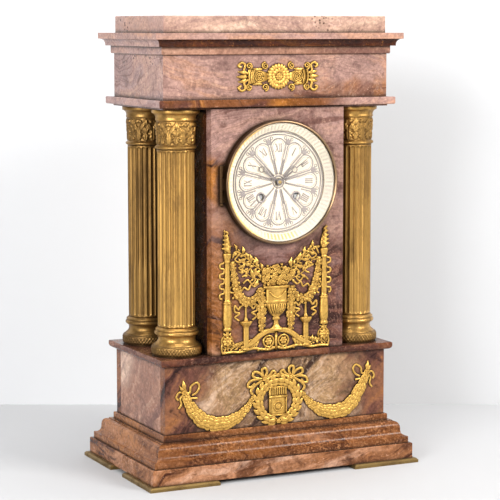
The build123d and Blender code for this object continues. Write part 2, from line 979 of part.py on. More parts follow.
# Wheelwork helpers
def toothed_outline(teeth, module, addendum, root_share, tip_share, phase):
    """Corners of a toothed rim: each tooth is a root, a tip, a tip and a root corner."""
    pitch_radius = teeth * module / 2
    root = pitch_radius - dedendum * module
    tip = pitch_radius + addendum * module
    step = 2 * pi / teeth
    corners = []
    for index in range(teeth):
        middle = phase + index * step
        for radius, share in ((root, -root_share), (tip, -tip_share), (tip, tip_share), (root, root_share)):
            angle = middle + share * step
            corners.append((radius * cos(angle), radius * sin(angle)))
    return corners


def saw_outline(teeth, radius, depth, lean):
    """Corners of a wheel with leaning saw teeth."""
    step = 2 * pi / teeth
    tip = saw_tip_place + lean
    corners = []
    for index in range(teeth):
        for place, reach in ((0, radius - depth), (tip, radius), (tip + saw_tip_width, radius)):
            angle = (index + place) * step
            corners.append((reach * cos(angle), reach * sin(angle)))
    return corners


def toothed_face(corners):
    """The face inside a toothed outline."""
    with BuildLine() as rim:
        Polyline(*corners, close=True)
    make_face(rim.edges())


def crossed_wheel(centre, corners, rim_inner, y_front, thickness):
    """A wheel with a toothed rim, four arms and a hub."""
    with BuildSketch(arbor_plane(centre, y_front + thickness)) as outline:
        toothed_face(corners)
        Circle(rim_inner, mode=Mode.SUBTRACT)
        Circle(hub_radius)
        Rectangle(2 * rim_inner + rim_width, spoke_width)
        Rectangle(spoke_width, 2 * rim_inner + rim_width)
    extrude(outline.sketch, amount=thickness)


def wheel_corners(teeth, module, phase=0.0):
    """Outline of a wheel."""
    return toothed_outline(teeth, module, wheel_addendum, wheel_root_share, wheel_tip_share, phase)


def pinion_corners(leaves, module, phase):
    """Outline of a pinion."""
    return toothed_outline(leaves, module, pinion_addendum, pinion_root_share, pinion_tip_share, phase)


def rim_inside(teeth, module):
    """Radius of the inside of a wheel's rim."""
    return teeth * module / 2 - dedendum * module - rim_width


def mesh_phase(wheel_centre, wheel_teeth, pinion_centre, leaves):
    """Turn of a pinion so that a space faces the tooth of a wheel whose first tooth points along X."""
    line = atan2(pinion_centre[1] - wheel_centre[1], pinion_centre[0] - wheel_centre[0])
    offset = line * wheel_teeth / (2 * pi)
    return line + pi - (0.5 - offset) * 2 * pi / leaves


def spindle(centre, radius, pivot):
    """An arbor between the plates with a pivot in each."""
    disc(radius, centre, plate_inner_y + shoulder_gap, back_plate_y - shoulder_gap)
    disc(pivot, centre, front_plate_y, plate_inner_y + shoulder_gap)
    disc(pivot, centre, back_plate_y - shoulder_gap, back_plate_rear_y)


def pinion(centre, leaves, module, phase, layer, thickness):
    """Pinion leaves that reach a little past the wheel they meet."""
    y_front = plate_inner_y + layer - pinion_extra
    with BuildSketch(arbor_plane(centre, y_front + thickness + 2 * pinion_extra)) as outline:
        toothed_face(pinion_corners(leaves, module, phase))
    extrude(outline.sketch, amount=thickness + 2 * pinion_extra)


def beside(centre, angle, distance):
    """A point at a distance and an angle from another."""
    return (centre[0] + distance * cos(radians(angle)), centre[1] + distance * sin(radians(angle)))


def third_corner(first, second, from_first, from_second, side):
    """The point at two given distances from two others, on one side of the line between them."""
    span = hypot(second[0] - first[0], second[1] - first[1])
    along = (from_first**2 - from_second**2 + span**2) / (2 * span)
    off = side * sqrt(from_first**2 - along**2)
    ux, uy = (second[0] - first[0]) / span, (second[1] - first[1]) / span
    return (first[0] + along * ux - off * uy, first[1] + along * uy + off * ux)


# Places of the arbors
centre_point = (0.0, 0.0)
strike_winding, going_winding = winding_points
great_reach = (great_teeth + intermediate_pinion) * great_module / 2
intermediate_reach = (intermediate_teeth + centre_pinion) * intermediate_module / 2
third_reach = (centre_teeth + third_pinion) * centre_module / 2
escape_reach = (third_teeth + escape_pinion) * third_module / 2
going_intermediate = third_corner(centre_point, going_winding, intermediate_reach, great_reach, 1)
strike_intermediate = third_corner(centre_point, strike_winding, intermediate_reach, great_reach, -1)
escape_point = (0.0, escape_rise)
third_point = third_corner(centre_point, escape_point, third_reach, escape_reach, -1)
pin_wheel_point = beside(
    strike_intermediate, pin_wheel_angle, (intermediate_teeth + pin_wheel_pinion) * intermediate_module / 2
)
stop_point = beside(pin_wheel_point, stop_angle, (pin_wheel_teeth + stop_pinion) * pin_wheel_module / 2)
warning_point = beside(stop_point, warning_angle, (stop_teeth + warning_pinion) * stop_module / 2)
fly_point = beside(warning_point, fly_angle, (warning_teeth + fly_pinion) * warning_module / 2)
anchor_point = (0.0, escape_rise + anchor_rise)
minute_wheel_reach = (cannon_leaves + minute_wheel_teeth) * minute_module / 2
hour_module = 2 * minute_wheel_reach / (minute_wheel_pinion + hour_wheel_teeth)
minute_wheel_point = (0.0, -minute_wheel_reach)
bell_point = (bell_x, -bell_drop)
hammer_point = (hammer_x, hammer_rise)
pillar_points = [(sx * px, pz) for px, pz in (upper_pillar, lower_pillar) for sx in (-1, 1)]

fine_points = [third_point, escape_point, stop_point, warning_point, fly_point]
stud_y = dial_y + 2 * dial_fit

# Plates and pillars
with BuildPart() as front_plate:
    disc(plate_radius, centre_point, front_plate_y, plate_inner_y)
    disc(arbor_radius, minute_wheel_point, stud_y, front_plate_y)
    with BuildSketch(arbor_plane(centre_point, plate_inner_y)):
        with Locations(*fine_points):
            Circle(fine_pivot_radius + pivot_fit)
        with Locations(going_intermediate, strike_intermediate, pin_wheel_point):
            Circle(pivot_radius + pivot_fit)
        with Locations(anchor_point, hammer_point):
            Circle(pivot_radius + pivot_fit)
        with Locations(centre_point):
            Circle(arbor_radius + pivot_fit)
        with Locations(*winding_points):
            Circle(barrel_arbor_radius + pivot_fit)
    extrude(amount=plate_thickness, mode=Mode.SUBTRACT)
save(front_plate, "front_plate")

with BuildPart() as back_plate:
    disc(plate_radius, centre_point, back_plate_y, back_plate_rear_y)
    with BuildSketch(arbor_plane(centre_point, back_plate_rear_y)):
        with Locations(*fine_points):
            Circle(fine_pivot_radius + pivot_fit)
        with Locations(going_intermediate, pin_wheel_point, centre_point):
            Circle(pivot_radius + pivot_fit)
        with Locations(strike_intermediate, hammer_point):
            Circle(arbor_radius + pivot_fit)
        with Locations(anchor_point):
            Circle(arbor_radius + shoulder_gap)
        with Locations(*winding_points):
            Circle(barrel_arbor_radius + pivot_fit)
    extrude(amount=plate_thickness, mode=Mode.SUBTRACT)
save(back_plate, "back_plate")

with BuildPart() as plate_pillars:
    for point in pillar_points:
        disc(pillar_radius, point, plate_inner_y, plate_inner_y + pillar_boss)
        disc(pillar_neck, point, plate_inner_y + pillar_boss, back_plate_y - pillar_boss)
        disc(pillar_radius, point, back_plate_y - pillar_boss, back_plate_y)
save(plate_pillars, "plate_pillars")

with BuildPart() as mounting_straps:
    strap_start = case_front_y + collar_depth - seat_wall
    strap_end = case_back_y - collar_depth + seat_wall
    strap_out = sqrt(collar_inner_radius**2 - (strap_width / 2) ** 2) - strap_fit
    strap_mid = (strap_start + strap_end) / 2
    strap_x = strap_out - strap_thickness / 2
    with Locations((-strap_x, strap_mid, dial_centre_height), (strap_x, strap_mid, dial_centre_height)):
        Box(strap_thickness, strap_end - strap_start, strap_width)
save(mounting_straps, "mounting_straps")

# Barrels with their great wheels, and the winding arbors through them
drum_front_y = plate_inner_y + barrel_front_gap
great_y = plate_inner_y + great_layer
for piece_name, point in (("strike_barrel", strike_winding), ("going_barrel", going_winding)):
    with BuildPart() as spring_barrel:
        disc(barrel_radius, point, drum_front_y, great_y)
        with BuildSketch(arbor_plane(point, great_y + great_thickness)):
            toothed_face(wheel_corners(great_teeth, great_module))
        extrude(amount=great_thickness)
        drum_bore = barrel_arbor_radius + barrel_fit
        disc(drum_bore, point, drum_front_y, great_y + great_thickness, Mode.SUBTRACT)
    save(spring_barrel, piece_name)

for piece_name, point in (("strike_winding_arbor", strike_winding), ("going_winding_arbor", going_winding)):
    with BuildPart() as winding_arbor:
        disc(barrel_arbor_radius, point, front_plate_y - ratchet_thickness, back_plate_rear_y)
        ratchet_y = front_plate_y - shoulder_gap
        with BuildSketch(arbor_plane(point, ratchet_y)):
            toothed_face(saw_outline(ratchet_teeth, ratchet_radius, ratchet_depth, escape_lean))
        extrude(amount=ratchet_thickness)
        with BuildSketch(arbor_plane(point, ratchet_y)):
            Rectangle(winding_square, winding_square)
        extrude(amount=ratchet_y - dial_y)
    save(winding_arbor, piece_name)

# Going train
with BuildPart() as going_intermediate_wheel:
    spindle(going_intermediate, arbor_radius, pivot_radius)
    crossed_wheel(
        going_intermediate,
        wheel_corners(intermediate_teeth, intermediate_module),
        rim_inside(intermediate_teeth, intermediate_module),
        plate_inner_y + going_layer,
        wheel_thickness,
    )
    great_phase = mesh_phase(going_winding, great_teeth, going_intermediate, intermediate_pinion)
    pinion(going_intermediate, intermediate_pinion, great_module, great_phase, great_layer, great_thickness)
save(going_intermediate_wheel, "going_intermediate_wheel")

with BuildPart() as centre_wheel:
    arbor_tip_y = minute_hand_y - hand_thickness - shoulder_gap
    disc(arbor_radius, centre_point, arbor_tip_y, back_plate_y - shoulder_gap)
    disc(pivot_radius, centre_point, back_plate_y - shoulder_gap, back_plate_rear_y)
    crossed_wheel(
        centre_point,
        wheel_corners(centre_teeth, centre_module),
        rim_inside(centre_teeth, centre_module),
        plate_inner_y + centre_layer,
        wheel_thickness,
    )
    going_phase = mesh_phase(going_intermediate, intermediate_teeth, centre_point, centre_pinion)
    pinion(centre_point, centre_pinion, intermediate_module, going_phase, going_layer, wheel_thickness)
save(centre_wheel, "centre_wheel")

with BuildPart() as third_wheel:
    spindle(third_point, fine_arbor_radius, fine_pivot_radius)
    crossed_wheel(
        third_point,
        wheel_corners(third_teeth, third_module),
        rim_inside(third_teeth, third_module),
        plate_inner_y + third_layer,
        wheel_thickness,
    )
    centre_phase = mesh_phase(centre_point, centre_teeth, third_point, third_pinion)
    pinion(third_point, third_pinion, centre_module, centre_phase, centre_layer, wheel_thickness)
save(third_wheel, "third_wheel")

with BuildPart() as escape_wheel:
    spindle(escape_point, fine_arbor_radius, fine_pivot_radius)
    crossed_wheel(
        escape_point,
        saw_outline(escape_teeth, escape_radius, escape_tooth_depth, escape_lean),
        escape_radius - escape_tooth_depth - rim_width,
        plate_inner_y + escape_layer,
        wheel_thickness,
    )
    third_phase = mesh_phase(third_point, third_teeth, escape_point, escape_pinion)
    pinion(escape_point, escape_pinion, third_module, third_phase, third_layer, wheel_thickness)
save(escape_wheel, "escape_wheel")

# Anchor: arbor, two arms with pallets over the escape wheel, and the crutch behind the back plate
pallet_angle = pallet_span / 2 * 360 / escape_teeth
pallet_reach = escape_radius + pallet_clearance
pallet_x = pallet_reach * sin(radians(pallet_angle))
pallet_drop = anchor_rise - pallet_reach * cos(radians(pallet_angle))
crutch_y = back_plate_rear_y + crutch_gap
cock_y = back_plate_rear_y + cock_height
pendulum_y = cock_y + cock_thickness + suspension_gap
with BuildPart() as anchor:
    disc(pivot_radius, anchor_point, front_plate_y, plate_inner_y + shoulder_gap)
    disc(arbor_radius, anchor_point, plate_inner_y + shoulder_gap, cock_y - shoulder_gap)
    disc(pivot_radius, anchor_point, cock_y - shoulder_gap, cock_y + cock_thickness)
    arm_y = plate_inner_y + escape_layer + wheel_thickness
    with BuildSketch(arbor_plane(anchor_point, arm_y)):
        Circle(anchor_hub_radius)
        for side in (-1, 1):
            with BuildLine():
                Polyline(
                    (0, anchor_arm),
                    (side * (pallet_x + pallet_width), -pallet_drop + anchor_arm),
                    (side * (pallet_x + pallet_width / 2), -pallet_drop),
                    (side * (pallet_x - pallet_width / 4), -pallet_drop + pallet_width / 4),
                    (side * (pallet_x - anchor_arm), -pallet_drop + pallet_shoulder),
                    (0, -anchor_arm / 2),
                    close=True,
                )
            make_face()
    extrude(amount=wheel_thickness)
    with BuildSketch(arbor_plane(anchor_point, crutch_y + crutch_thickness)):
        Circle(hub_radius)
        with Locations((0, -crutch_length / 2)):
            Rectangle(crutch_width, crutch_length)
    extrude(amount=crutch_thickness)
    fork_half = rod_thickness + crutch_slot
    with BuildSketch(arbor_plane(anchor_point, pendulum_y + rod_thickness)):
        with Locations((0, -crutch_length)):
            Rectangle(2 * (fork_half + crutch_thickness), crutch_width)
    extrude(amount=pendulum_y + rod_thickness - crutch_y)
    with BuildSketch(arbor_plane(anchor_point, pendulum_y + rod_thickness)):
        with Locations((0, -crutch_length)):
            Rectangle(2 * fork_half, crutch_width)
    extrude(amount=2 * rod_thickness + crutch_slot, mode=Mode.SUBTRACT)
save(anchor, "anchor")

with BuildPart() as back_cock:
    foot_offset = cock_width / 2 - cock_foot / 2 - edge_chamfer
    with BuildSketch(arbor_plane(anchor_point, cock_y + cock_thickness)):
        SlotOverall(cock_width, cock_depth)
        Circle(pivot_radius + pivot_fit, mode=Mode.SUBTRACT)
    extrude(amount=cock_thickness)
    with BuildSketch(arbor_plane(anchor_point, cock_y)):
        with Locations((-foot_offset, 0), (foot_offset, 0)):
            Circle(cock_foot / 2)
    extrude(amount=cock_height)
    suspension_top = cock_depth / 2
    block_depth = suspension_gap + spring_width
    with BuildSketch(arbor_plane(anchor_point, cock_y + cock_thickness + block_depth)):
        with Locations((0, suspension_top)):
            Rectangle(cock_foot, cock_foot)
    extrude(amount=block_depth + cock_thickness)
save(back_cock, "back_cock")

# Pendulum: suspension spring and hook, rod, lens bob and rating nut
spring_top = cock_depth / 2 - cock_foot / 2 - shoulder_gap
bob_point = (0.0, anchor_point[1] - pendulum_length)
pivot_height = dial_centre_height + anchor_point[1]
with BuildPart() as pendulum_rod:
    with Locations((0, pendulum_y, pivot_height + spring_top - spring_length / 2)):
        Box(spring_width, spring_thickness, spring_length)
    rod_top_z = pivot_height + spring_top - spring_length
    rod_bottom_z = dial_centre_height + bob_point[1] - bob_radius - rod_tail
    with Locations((0, pendulum_y, rod_top_z)):
        Box(spring_width, 2 * rod_thickness, spring_width)
    with BuildSketch(Plane(origin=(0, pendulum_y, rod_bottom_z), z_dir=(0, 0, 1))):
        Circle(rod_thickness)
    extrude(amount=rod_top_z - rod_bottom_z)
    nut_top = dial_centre_height + bob_point[1] - bob_radius
    with BuildSketch(Plane(origin=(0, pendulum_y, nut_top - rating_nut_height), z_dir=(0, 0, 1))):
        Circle(rating_nut_radius)
    extrude(amount=rating_nut_height)
save(pendulum_rod, "pendulum_rod")

with BuildPart() as pendulum_bob:
    bob_z = dial_centre_height + bob_point[1]
    bob_half = bob_thickness / 2
    bulge = bob_radius * bob_bulge_share
    with BuildSketch(Plane(origin=(0, pendulum_y, bob_z), x_dir=(1, 0, 0), z_dir=(0, 0, -1))):
        with BuildLine():
            ThreePointArc((0, bob_half), (bulge, bob_half / 2), (bob_radius, edge_chamfer))
            Line((bob_radius, edge_chamfer), (bob_radius, -edge_chamfer))
            ThreePointArc((bob_radius, -edge_chamfer), (bulge, -bob_half / 2), (0, -bob_half))
            Line((0, -bob_half), (0, bob_half))
        make_face()
    revolve(axis=Axis((0, pendulum_y, bob_z), (0, 1, 0)))
    with BuildSketch(Plane(origin=(0, pendulum_y, bob_z - bob_radius), z_dir=(0, 0, 1))):
        Circle(rod_thickness + barrel_fit)
    extrude(amount=2 * bob_radius, mode=Mode.SUBTRACT)
save(pendulum_bob, "pendulum_bob")

# Striking train
with BuildPart() as strike_intermediate_wheel:
    disc(pivot_radius, strike_intermediate, front_plate_y, plate_inner_y + shoulder_gap)
    arbor_end = back_plate_rear_y + count_wheel_gap + wheel_thickness
    disc(arbor_radius, strike_intermediate, plate_inner_y + shoulder_gap, arbor_end)
    crossed_wheel(
        strike_intermediate,
        wheel_corners(intermediate_teeth, intermediate_module),
        rim_inside(intermediate_teeth, intermediate_module),
        plate_inner_y + strike_layer,
        wheel_thickness,
    )
    strike_phase = mesh_phase(strike_winding, great_teeth, strike_intermediate, intermediate_pinion)
    pinion(
        strike_intermediate, intermediate_pinion, great_module, strike_phase, great_layer, great_thickness
    )
save(strike_intermediate_wheel, "strike_intermediate_wheel")

# The count wheel's notches stand one more stroke apart each time, over the 78 strokes of twelve hours
hours = range(1, 13)
all_strokes = sum(hours)
with BuildPart() as count_wheel:
    count_y = back_plate_rear_y + count_wheel_gap
    with BuildSketch(arbor_plane(strike_intermediate, count_y + wheel_thickness)):
        Circle(count_wheel_radius)
        for hour in hours:
            notch_angle = 360 * sum(range(1, hour + 1)) / all_strokes
            with PolarLocations(count_wheel_radius, 1, start_angle=notch_angle):
                Rectangle(2 * count_notch_depth, count_notch_width, mode=Mode.SUBTRACT)
        Circle(arbor_radius, mode=Mode.SUBTRACT)
    extrude(amount=wheel_thickness)
save(count_wheel, "count_wheel")

with BuildPart() as pin_wheel:
    spindle(pin_wheel_point, arbor_radius, pivot_radius)
    pin_wheel_y = plate_inner_y + centre_layer
    crossed_wheel(
        pin_wheel_point,
        wheel_corners(pin_wheel_teeth, pin_wheel_module),
        rim_inside(pin_wheel_teeth, pin_wheel_module) - strike_pin_radius,
        pin_wheel_y,
        wheel_thickness,
    )
    with BuildSketch(arbor_plane(pin_wheel_point, pin_wheel_y)):
        with PolarLocations(strike_pin_circle, strike_pin_count):
            Circle(strike_pin_radius)
    extrude(amount=strike_pin_length)
    pin_phase = mesh_phase(strike_intermediate, intermediate_teeth, pin_wheel_point, pin_wheel_pinion)
    pinion(pin_wheel_point, pin_wheel_pinion, intermediate_module, pin_phase, strike_layer, wheel_thickness)
save(pin_wheel, "pin_wheel")

with BuildPart() as stop_wheel:
    spindle(stop_point, fine_arbor_radius, fine_pivot_radius)
    crossed_wheel(
        stop_point,
        wheel_corners(stop_teeth, stop_module),
        rim_inside(stop_teeth, stop_module),
        plate_inner_y + stop_layer,
        wheel_thickness,
    )
    stop_phase = mesh_phase(pin_wheel_point, pin_wheel_teeth, stop_point, stop_pinion)
    pinion(stop_point, stop_pinion, pin_wheel_module, stop_phase, centre_layer, wheel_thickness)
save(stop_wheel, "stop_wheel")

with BuildPart() as warning_wheel:
    spindle(warning_point, fine_arbor_radius, fine_pivot_radius)
    crossed_wheel(
        warning_point,
        wheel_corners(warning_teeth, warning_module),
        rim_inside(warning_teeth, warning_module),
        plate_inner_y + warning_layer,
        wheel_thickness,
    )
    warning_phase = mesh_phase(stop_point, stop_teeth, warning_point, warning_pinion)
    pinion(warning_point, warning_pinion, stop_module, warning_phase, stop_layer, wheel_thickness)
save(warning_wheel, "warning_wheel")

with BuildPart() as fly:
    spindle(fly_point, fine_arbor_radius, fine_pivot_radius)
    fly_phase = mesh_phase(warning_point, warning_teeth, fly_point, fly_pinion)
    pinion(fly_point, fly_pinion, warning_module, fly_phase, warning_layer, wheel_thickness)
    with BuildSketch(arbor_plane(fly_point, plate_inner_y + fly_layer + fly_length)):
        Rectangle(2 * fly_half_width, fly_thickness)
    extrude(amount=fly_length)
save(fly, "fly")

# Bell behind the back plate, and the hammer that falls on its rim
bell_mouth_y = back_plate_rear_y + bell_mouth_gap
with BuildPart() as bell:
    bell_height = dial_centre_height + bell_point[1]
    bell_axis = Axis((bell_x, bell_mouth_y, bell_height), (0, 1, 0))
    crown = bell_depth - bell_wall
    bell_eye = bell_post_radius - pivot_radius
    with BuildSketch(Plane(origin=(bell_x, bell_mouth_y, bell_height), x_dir=(1, 0, 0), z_dir=(0, 0, 1))):
        with BuildLine():
            Line((bell_radius - bell_wall, 0), (bell_radius, 0))
            Bezier((bell_radius, 0), (bell_radius - bell_wall, bell_depth), (bell_eye, bell_depth))
            Line((bell_eye, bell_depth), (bell_eye, crown))
            Bezier((bell_eye, crown), (bell_radius - 2 * bell_wall, crown), (bell_radius - bell_wall, 0))
        make_face()
    revolve(axis=bell_axis)
    disc(bell_post_radius, bell_point, back_plate_rear_y, bell_mouth_y + bell_depth)
    bell_back_y = bell_mouth_y + bell_depth
    disc(bell_nut_radius, bell_point, bell_mouth_y + crown - bell_nut_height, bell_mouth_y + crown)
    disc(bell_nut_radius, bell_point, bell_back_y, bell_back_y + bell_nut_height)
save(bell, "bell")

head_point = (bell_x, bell_point[1] + bell_radius + hammer_stand_off + hammer_head_radius)
with BuildPart() as hammer:
    hammer_end = bell_mouth_y + hammer_head_length
    disc(pivot_radius, hammer_point, front_plate_y, plate_inner_y + shoulder_gap)
    disc(arbor_radius, hammer_point, plate_inner_y + shoulder_gap, hammer_end)
    disc(hammer_head_radius, head_point, bell_mouth_y, hammer_end)
    arm_span = hypot(head_point[0] - hammer_x, head_point[1] - hammer_rise)
    arm_tilt = degrees(atan2(head_point[1] - hammer_rise, head_point[0] - hammer_x))
    with BuildSketch(arbor_plane(hammer_point, hammer_end)):
        with Locations(((head_point[0] - hammer_x) / 2, (head_point[1] - hammer_rise) / 2)):
            SlotCenterToCenter(arm_span, hammer_arm, rotation=arm_tilt)
    extrude(amount=hammer_arm)
    tail_span = hypot(pin_wheel_point[0] - hammer_x, pin_wheel_point[1] - hammer_rise)
    tail_length = tail_span - strike_pin_circle - strike_pin_radius - hammer_tail_gap
    tail_tilt = degrees(atan2(pin_wheel_point[1] - hammer_rise, pin_wheel_point[0] - hammer_x))
    tail_place = beside((0, 0), tail_tilt, tail_length / 2)
    with BuildSketch(arbor_plane(hammer_point, plate_inner_y + centre_layer - shoulder_gap)):
        with Locations(tail_place):
            Rectangle(tail_length, hammer_arm, rotation=tail_tilt)
    extrude(amount=strike_pin_length - shoulder_gap)
save(hammer, "hammer")

# Motion work between the front plate and the dial
cannon_y = front_plate_y - motion_spacing
hour_wheel_y = cannon_y - motion_spacing
cannon_bore = arbor_radius + motion_fit
cannon_wall = cannon_bore + pivot_radius
pipe_bore = cannon_wall + motion_fit
pipe_wall = pipe_bore + pivot_radius
with BuildPart() as cannon_pinion:
    disc(cannon_wall, centre_point, minute_hand_y - hand_thickness, front_plate_y - shoulder_gap)
    with BuildSketch(arbor_plane(centre_point, cannon_y + wheel_thickness + pinion_extra)):
        toothed_face(pinion_corners(cannon_leaves, minute_module, half_pi / cannon_leaves))
    extrude(amount=wheel_thickness + 2 * pinion_extra)
    disc(cannon_bore, centre_point, minute_hand_y - hand_thickness, front_plate_y, Mode.SUBTRACT)
save(cannon_pinion, "cannon_pinion")

with BuildPart() as minute_wheel:
    minute_phase = mesh_phase(
        minute_wheel_point, minute_wheel_teeth, centre_point, cannon_leaves
    ) - half_pi / cannon_leaves
    wheel_turn = minute_phase * cannon_leaves / minute_wheel_teeth
    crossed_wheel(
        minute_wheel_point,
        wheel_corners(minute_wheel_teeth, minute_module, wheel_turn),
        rim_inside(minute_wheel_teeth, minute_module),
        cannon_y,
        wheel_thickness,
    )
    hour_phase = mesh_phase(centre_point, hour_wheel_teeth, minute_wheel_point, minute_wheel_pinion)
    with BuildSketch(arbor_plane(minute_wheel_point, cannon_y)):
        toothed_face(pinion_corners(minute_wheel_pinion, hour_module, hour_phase))
    extrude(amount=cannon_y - hour_wheel_y + pinion_extra)
    disc(arbor_radius + motion_fit, minute_wheel_point, stud_y, front_plate_y, Mode.SUBTRACT)
save(minute_wheel, "minute_wheel")

with BuildPart() as hour_wheel:
    crossed_wheel(
        centre_point,
        wheel_corners(hour_wheel_teeth, hour_module),
        rim_inside(hour_wheel_teeth, hour_module),
        hour_wheel_y,
        wheel_thickness,
    )
    pipe_front_y = hour_hand_y - hand_thickness
    pipe_back_y = hour_wheel_y + wheel_thickness
    disc(pipe_wall, centre_point, pipe_front_y, pipe_back_y)
    disc(pipe_bore, centre_point, pipe_front_y, pipe_back_y, Mode.SUBTRACT)
save(hour_wheel, "hour_wheel")


# Hands: a tapered blade with an open eye, on a boss pressed onto its pipe
def hand(length, eye_share, bore_radius, angle, y):
    """One hand, pointing at a clockwise angle from twelve."""
    turn = radians(angle)
    turned = Plane(origin=(0, y, dial_centre_height), x_dir=(cos(turn), 0, -sin(turn)), z_dir=(0, -1, 0))
    eye = length * eye_share
    with BuildSketch(turned) as outline:
        with BuildLine():
            Polyline(
                (-hand_width / 2, 0),
                (-hand_width / 4, eye),
                (0, length),
                (hand_width / 4, eye),
                (hand_width / 2, 0),
                close=True,
            )
        make_face()
        with Locations((0, eye)):
            Circle(hand_eye_radius)
            Circle(hand_eye_radius - hand_eye_wall, mode=Mode.SUBTRACT)
        Circle(bore_radius + hand_width / 2)
        Circle(bore_radius, mode=Mode.SUBTRACT)
    extrude(outline.sketch, amount=hand_thickness)


with BuildPart() as hour_hand:
    hand(hour_hand_length, hour_eye_share, pipe_wall, hour_angle, hour_hand_y)
save(hour_hand, "hour_hand")

with BuildPart() as minute_hand:
    hand(minute_hand_length, minute_eye_share, cannon_wall, minute_angle, minute_hand_y)
save(minute_hand, "minute_hand")


# Gilt mounts: low reliefs seated flat on the stone
def leaf(start, end, bow):
    """A pointed leaf between two tips, drawn with two arcs."""
    across = hypot(end[0] - start[0], end[1] - start[1])
    nx, nz = -(end[1] - start[1]) / across, (end[0] - start[0]) / across
    middle = ((start[0] + end[0]) / 2, (start[1] + end[1]) / 2)
    with BuildLine() as edge:
        ThreePointArc(start, (middle[0] + bow * nx, middle[1] + bow * nz), end)
        ThreePointArc(end, (middle[0] - bow * nx, middle[1] - bow * nz), start)
    make_face(edge.edges())


def crescent(start, low, end, thickness, tip):
    """A hanging garland: thick at its lowest point and narrow at both ends."""
    pull = (2 * low[0] - (start[0] + end[0]) / 2, 2 * low[1] - (start[1] + end[1]) / 2)
    end_top = (end[0], end[1] + tip)
    start_top = (start[0], start[1] + tip)
    with BuildLine() as edge:
        Bezier(start, pull, end)
        Line(end, end_top)
        Bezier(end_top, (pull[0], pull[1] + 2 * thickness - tip), start_top)
        Line(start_top, start)
    make_face(edge.edges())


def bow_loop(knot, angle, length, width):
    """An open ribbon loop that leaves a knot at an angle."""
    middle = beside(knot, angle, length / 2)
    with Locations(middle):
        Ellipse(length / 2, width / 2, rotation=angle)
        Ellipse(length / 2 - bow_wall, width / 2 - bow_wall, rotation=angle, mode=Mode.SUBTRACT)


def standing(centre_x, base, corners):
    """A symmetric standing form: corners are half-width and rise pairs from the bottom up."""
    right = [(centre_x + half, base + rise) for half, rise in corners]
    left = [(centre_x - half, base + rise) for half, rise in reversed(corners)]
    with BuildLine() as edge:
        Polyline(*right, *left, close=True)
    make_face(edge.edges())


frieze_middle = frieze_z + frieze_height / 2
with BuildPart() as frieze_mount:
    with BuildSketch(front_plane(body_front_y)):
        with Locations((0, frieze_middle)):
            Circle(frieze_rosette_radius)
        for sx in (-1, 1):
            with BuildLine():
                Polyline(
                    (0, frieze_middle),
                    (sx * frieze_shell_shoulder, frieze_middle + frieze_shell_half),
                    (sx * frieze_shell_end, frieze_middle + frieze_shell_half),
                    (sx * frieze_shell_end, frieze_middle - frieze_shell_half),
                    (sx * frieze_shell_shoulder, frieze_middle - frieze_shell_half),
                    close=True,
                )
            make_face()
            leaf(
                (sx * frieze_shell_start, frieze_middle),
                (sx * frieze_leaf_end, frieze_middle),
                frieze_leaf_bow,
            )
            for scroll_x in frieze_scroll_places:
                with Locations((sx * scroll_x, frieze_middle)):
                    Rectangle(frieze_scroll_stem, 2 * frieze_scroll_rise)
                for rise in (-frieze_scroll_rise, frieze_scroll_rise):
                    with Locations((sx * scroll_x, frieze_middle + rise)):
                        Circle(frieze_scroll_radius)
    extrude(amount=mount_relief)
    with BuildSketch(front_plane(body_front_y)):
        with Locations((0, frieze_middle)):
            Circle(frieze_rosette_radius)
    extrude(amount=mount_height, taper=frieze_rosette_taper)
save(frieze_mount, "frieze_mount")

with BuildPart() as wreath_mount:
    wreath_z = pedestal_z + wreath_rise
    for step_in, relief in ((0, mount_relief), (wreath_step, mount_height)):
        with BuildSketch(front_plane(body_front_y)):
            with Locations((0, wreath_z)):
                Ellipse(wreath_half_width - step_in, wreath_half_height - step_in)
                Circle(wreath_opening + step_in, mode=Mode.SUBTRACT)
        extrude(amount=relief)
    quiver_middle = wreath_z + (quiver_top - quiver_bottom) / 2
    with BuildSketch(front_plane(body_front_y)):
        with Locations((0, quiver_middle)):
            Rectangle(quiver_width, quiver_top + quiver_bottom)
    extrude(amount=mount_relief)
    flute_pitch = quiver_width / quiver_flutes
    with BuildSketch(front_plane(body_front_y)):
        with Locations((0, quiver_middle)):
            with GridLocations(flute_pitch, 0, quiver_flutes, 1):
                Rectangle(flute_pitch / 2, quiver_top + quiver_bottom)
    extrude(amount=mount_relief + edge_chamfer)
    with BuildSketch(front_plane(body_front_y)):
        for sx in (-1, 1):
            knot = (sx * wreath_knot_x, wreath_z + wreath_knot_rise)
            for angle in wreath_bow_angles:
                bow_loop(knot, angle if sx > 0 else 180 - angle, wreath_bow_length, bow_width)
    extrude(amount=mount_relief)
save(wreath_mount, "wreath_mount")

with BuildPart() as garland_mounts:
    for sx, outer_rise in zip((-1, 1), garland_outer_rises):
        inner = (sx * garland_inner_x, pedestal_z + garland_inner_rise)
        outer = (sx * garland_outer_x, pedestal_z + outer_rise)
        low = (sx * garland_low_x, pedestal_z + garland_low_rise)
        with BuildSketch(front_plane(body_front_y)):
            crescent(inner, low, outer, garland_thickness, garland_tip)
        extrude(amount=mount_height)
        with BuildSketch(front_plane(body_front_y)):
            for angle in garland_bow_angles:
                bow_loop(outer, angle if sx > 0 else 180 - angle, bow_length, bow_width)
        extrude(amount=mount_relief)
save(garland_mounts, "garland_mounts")

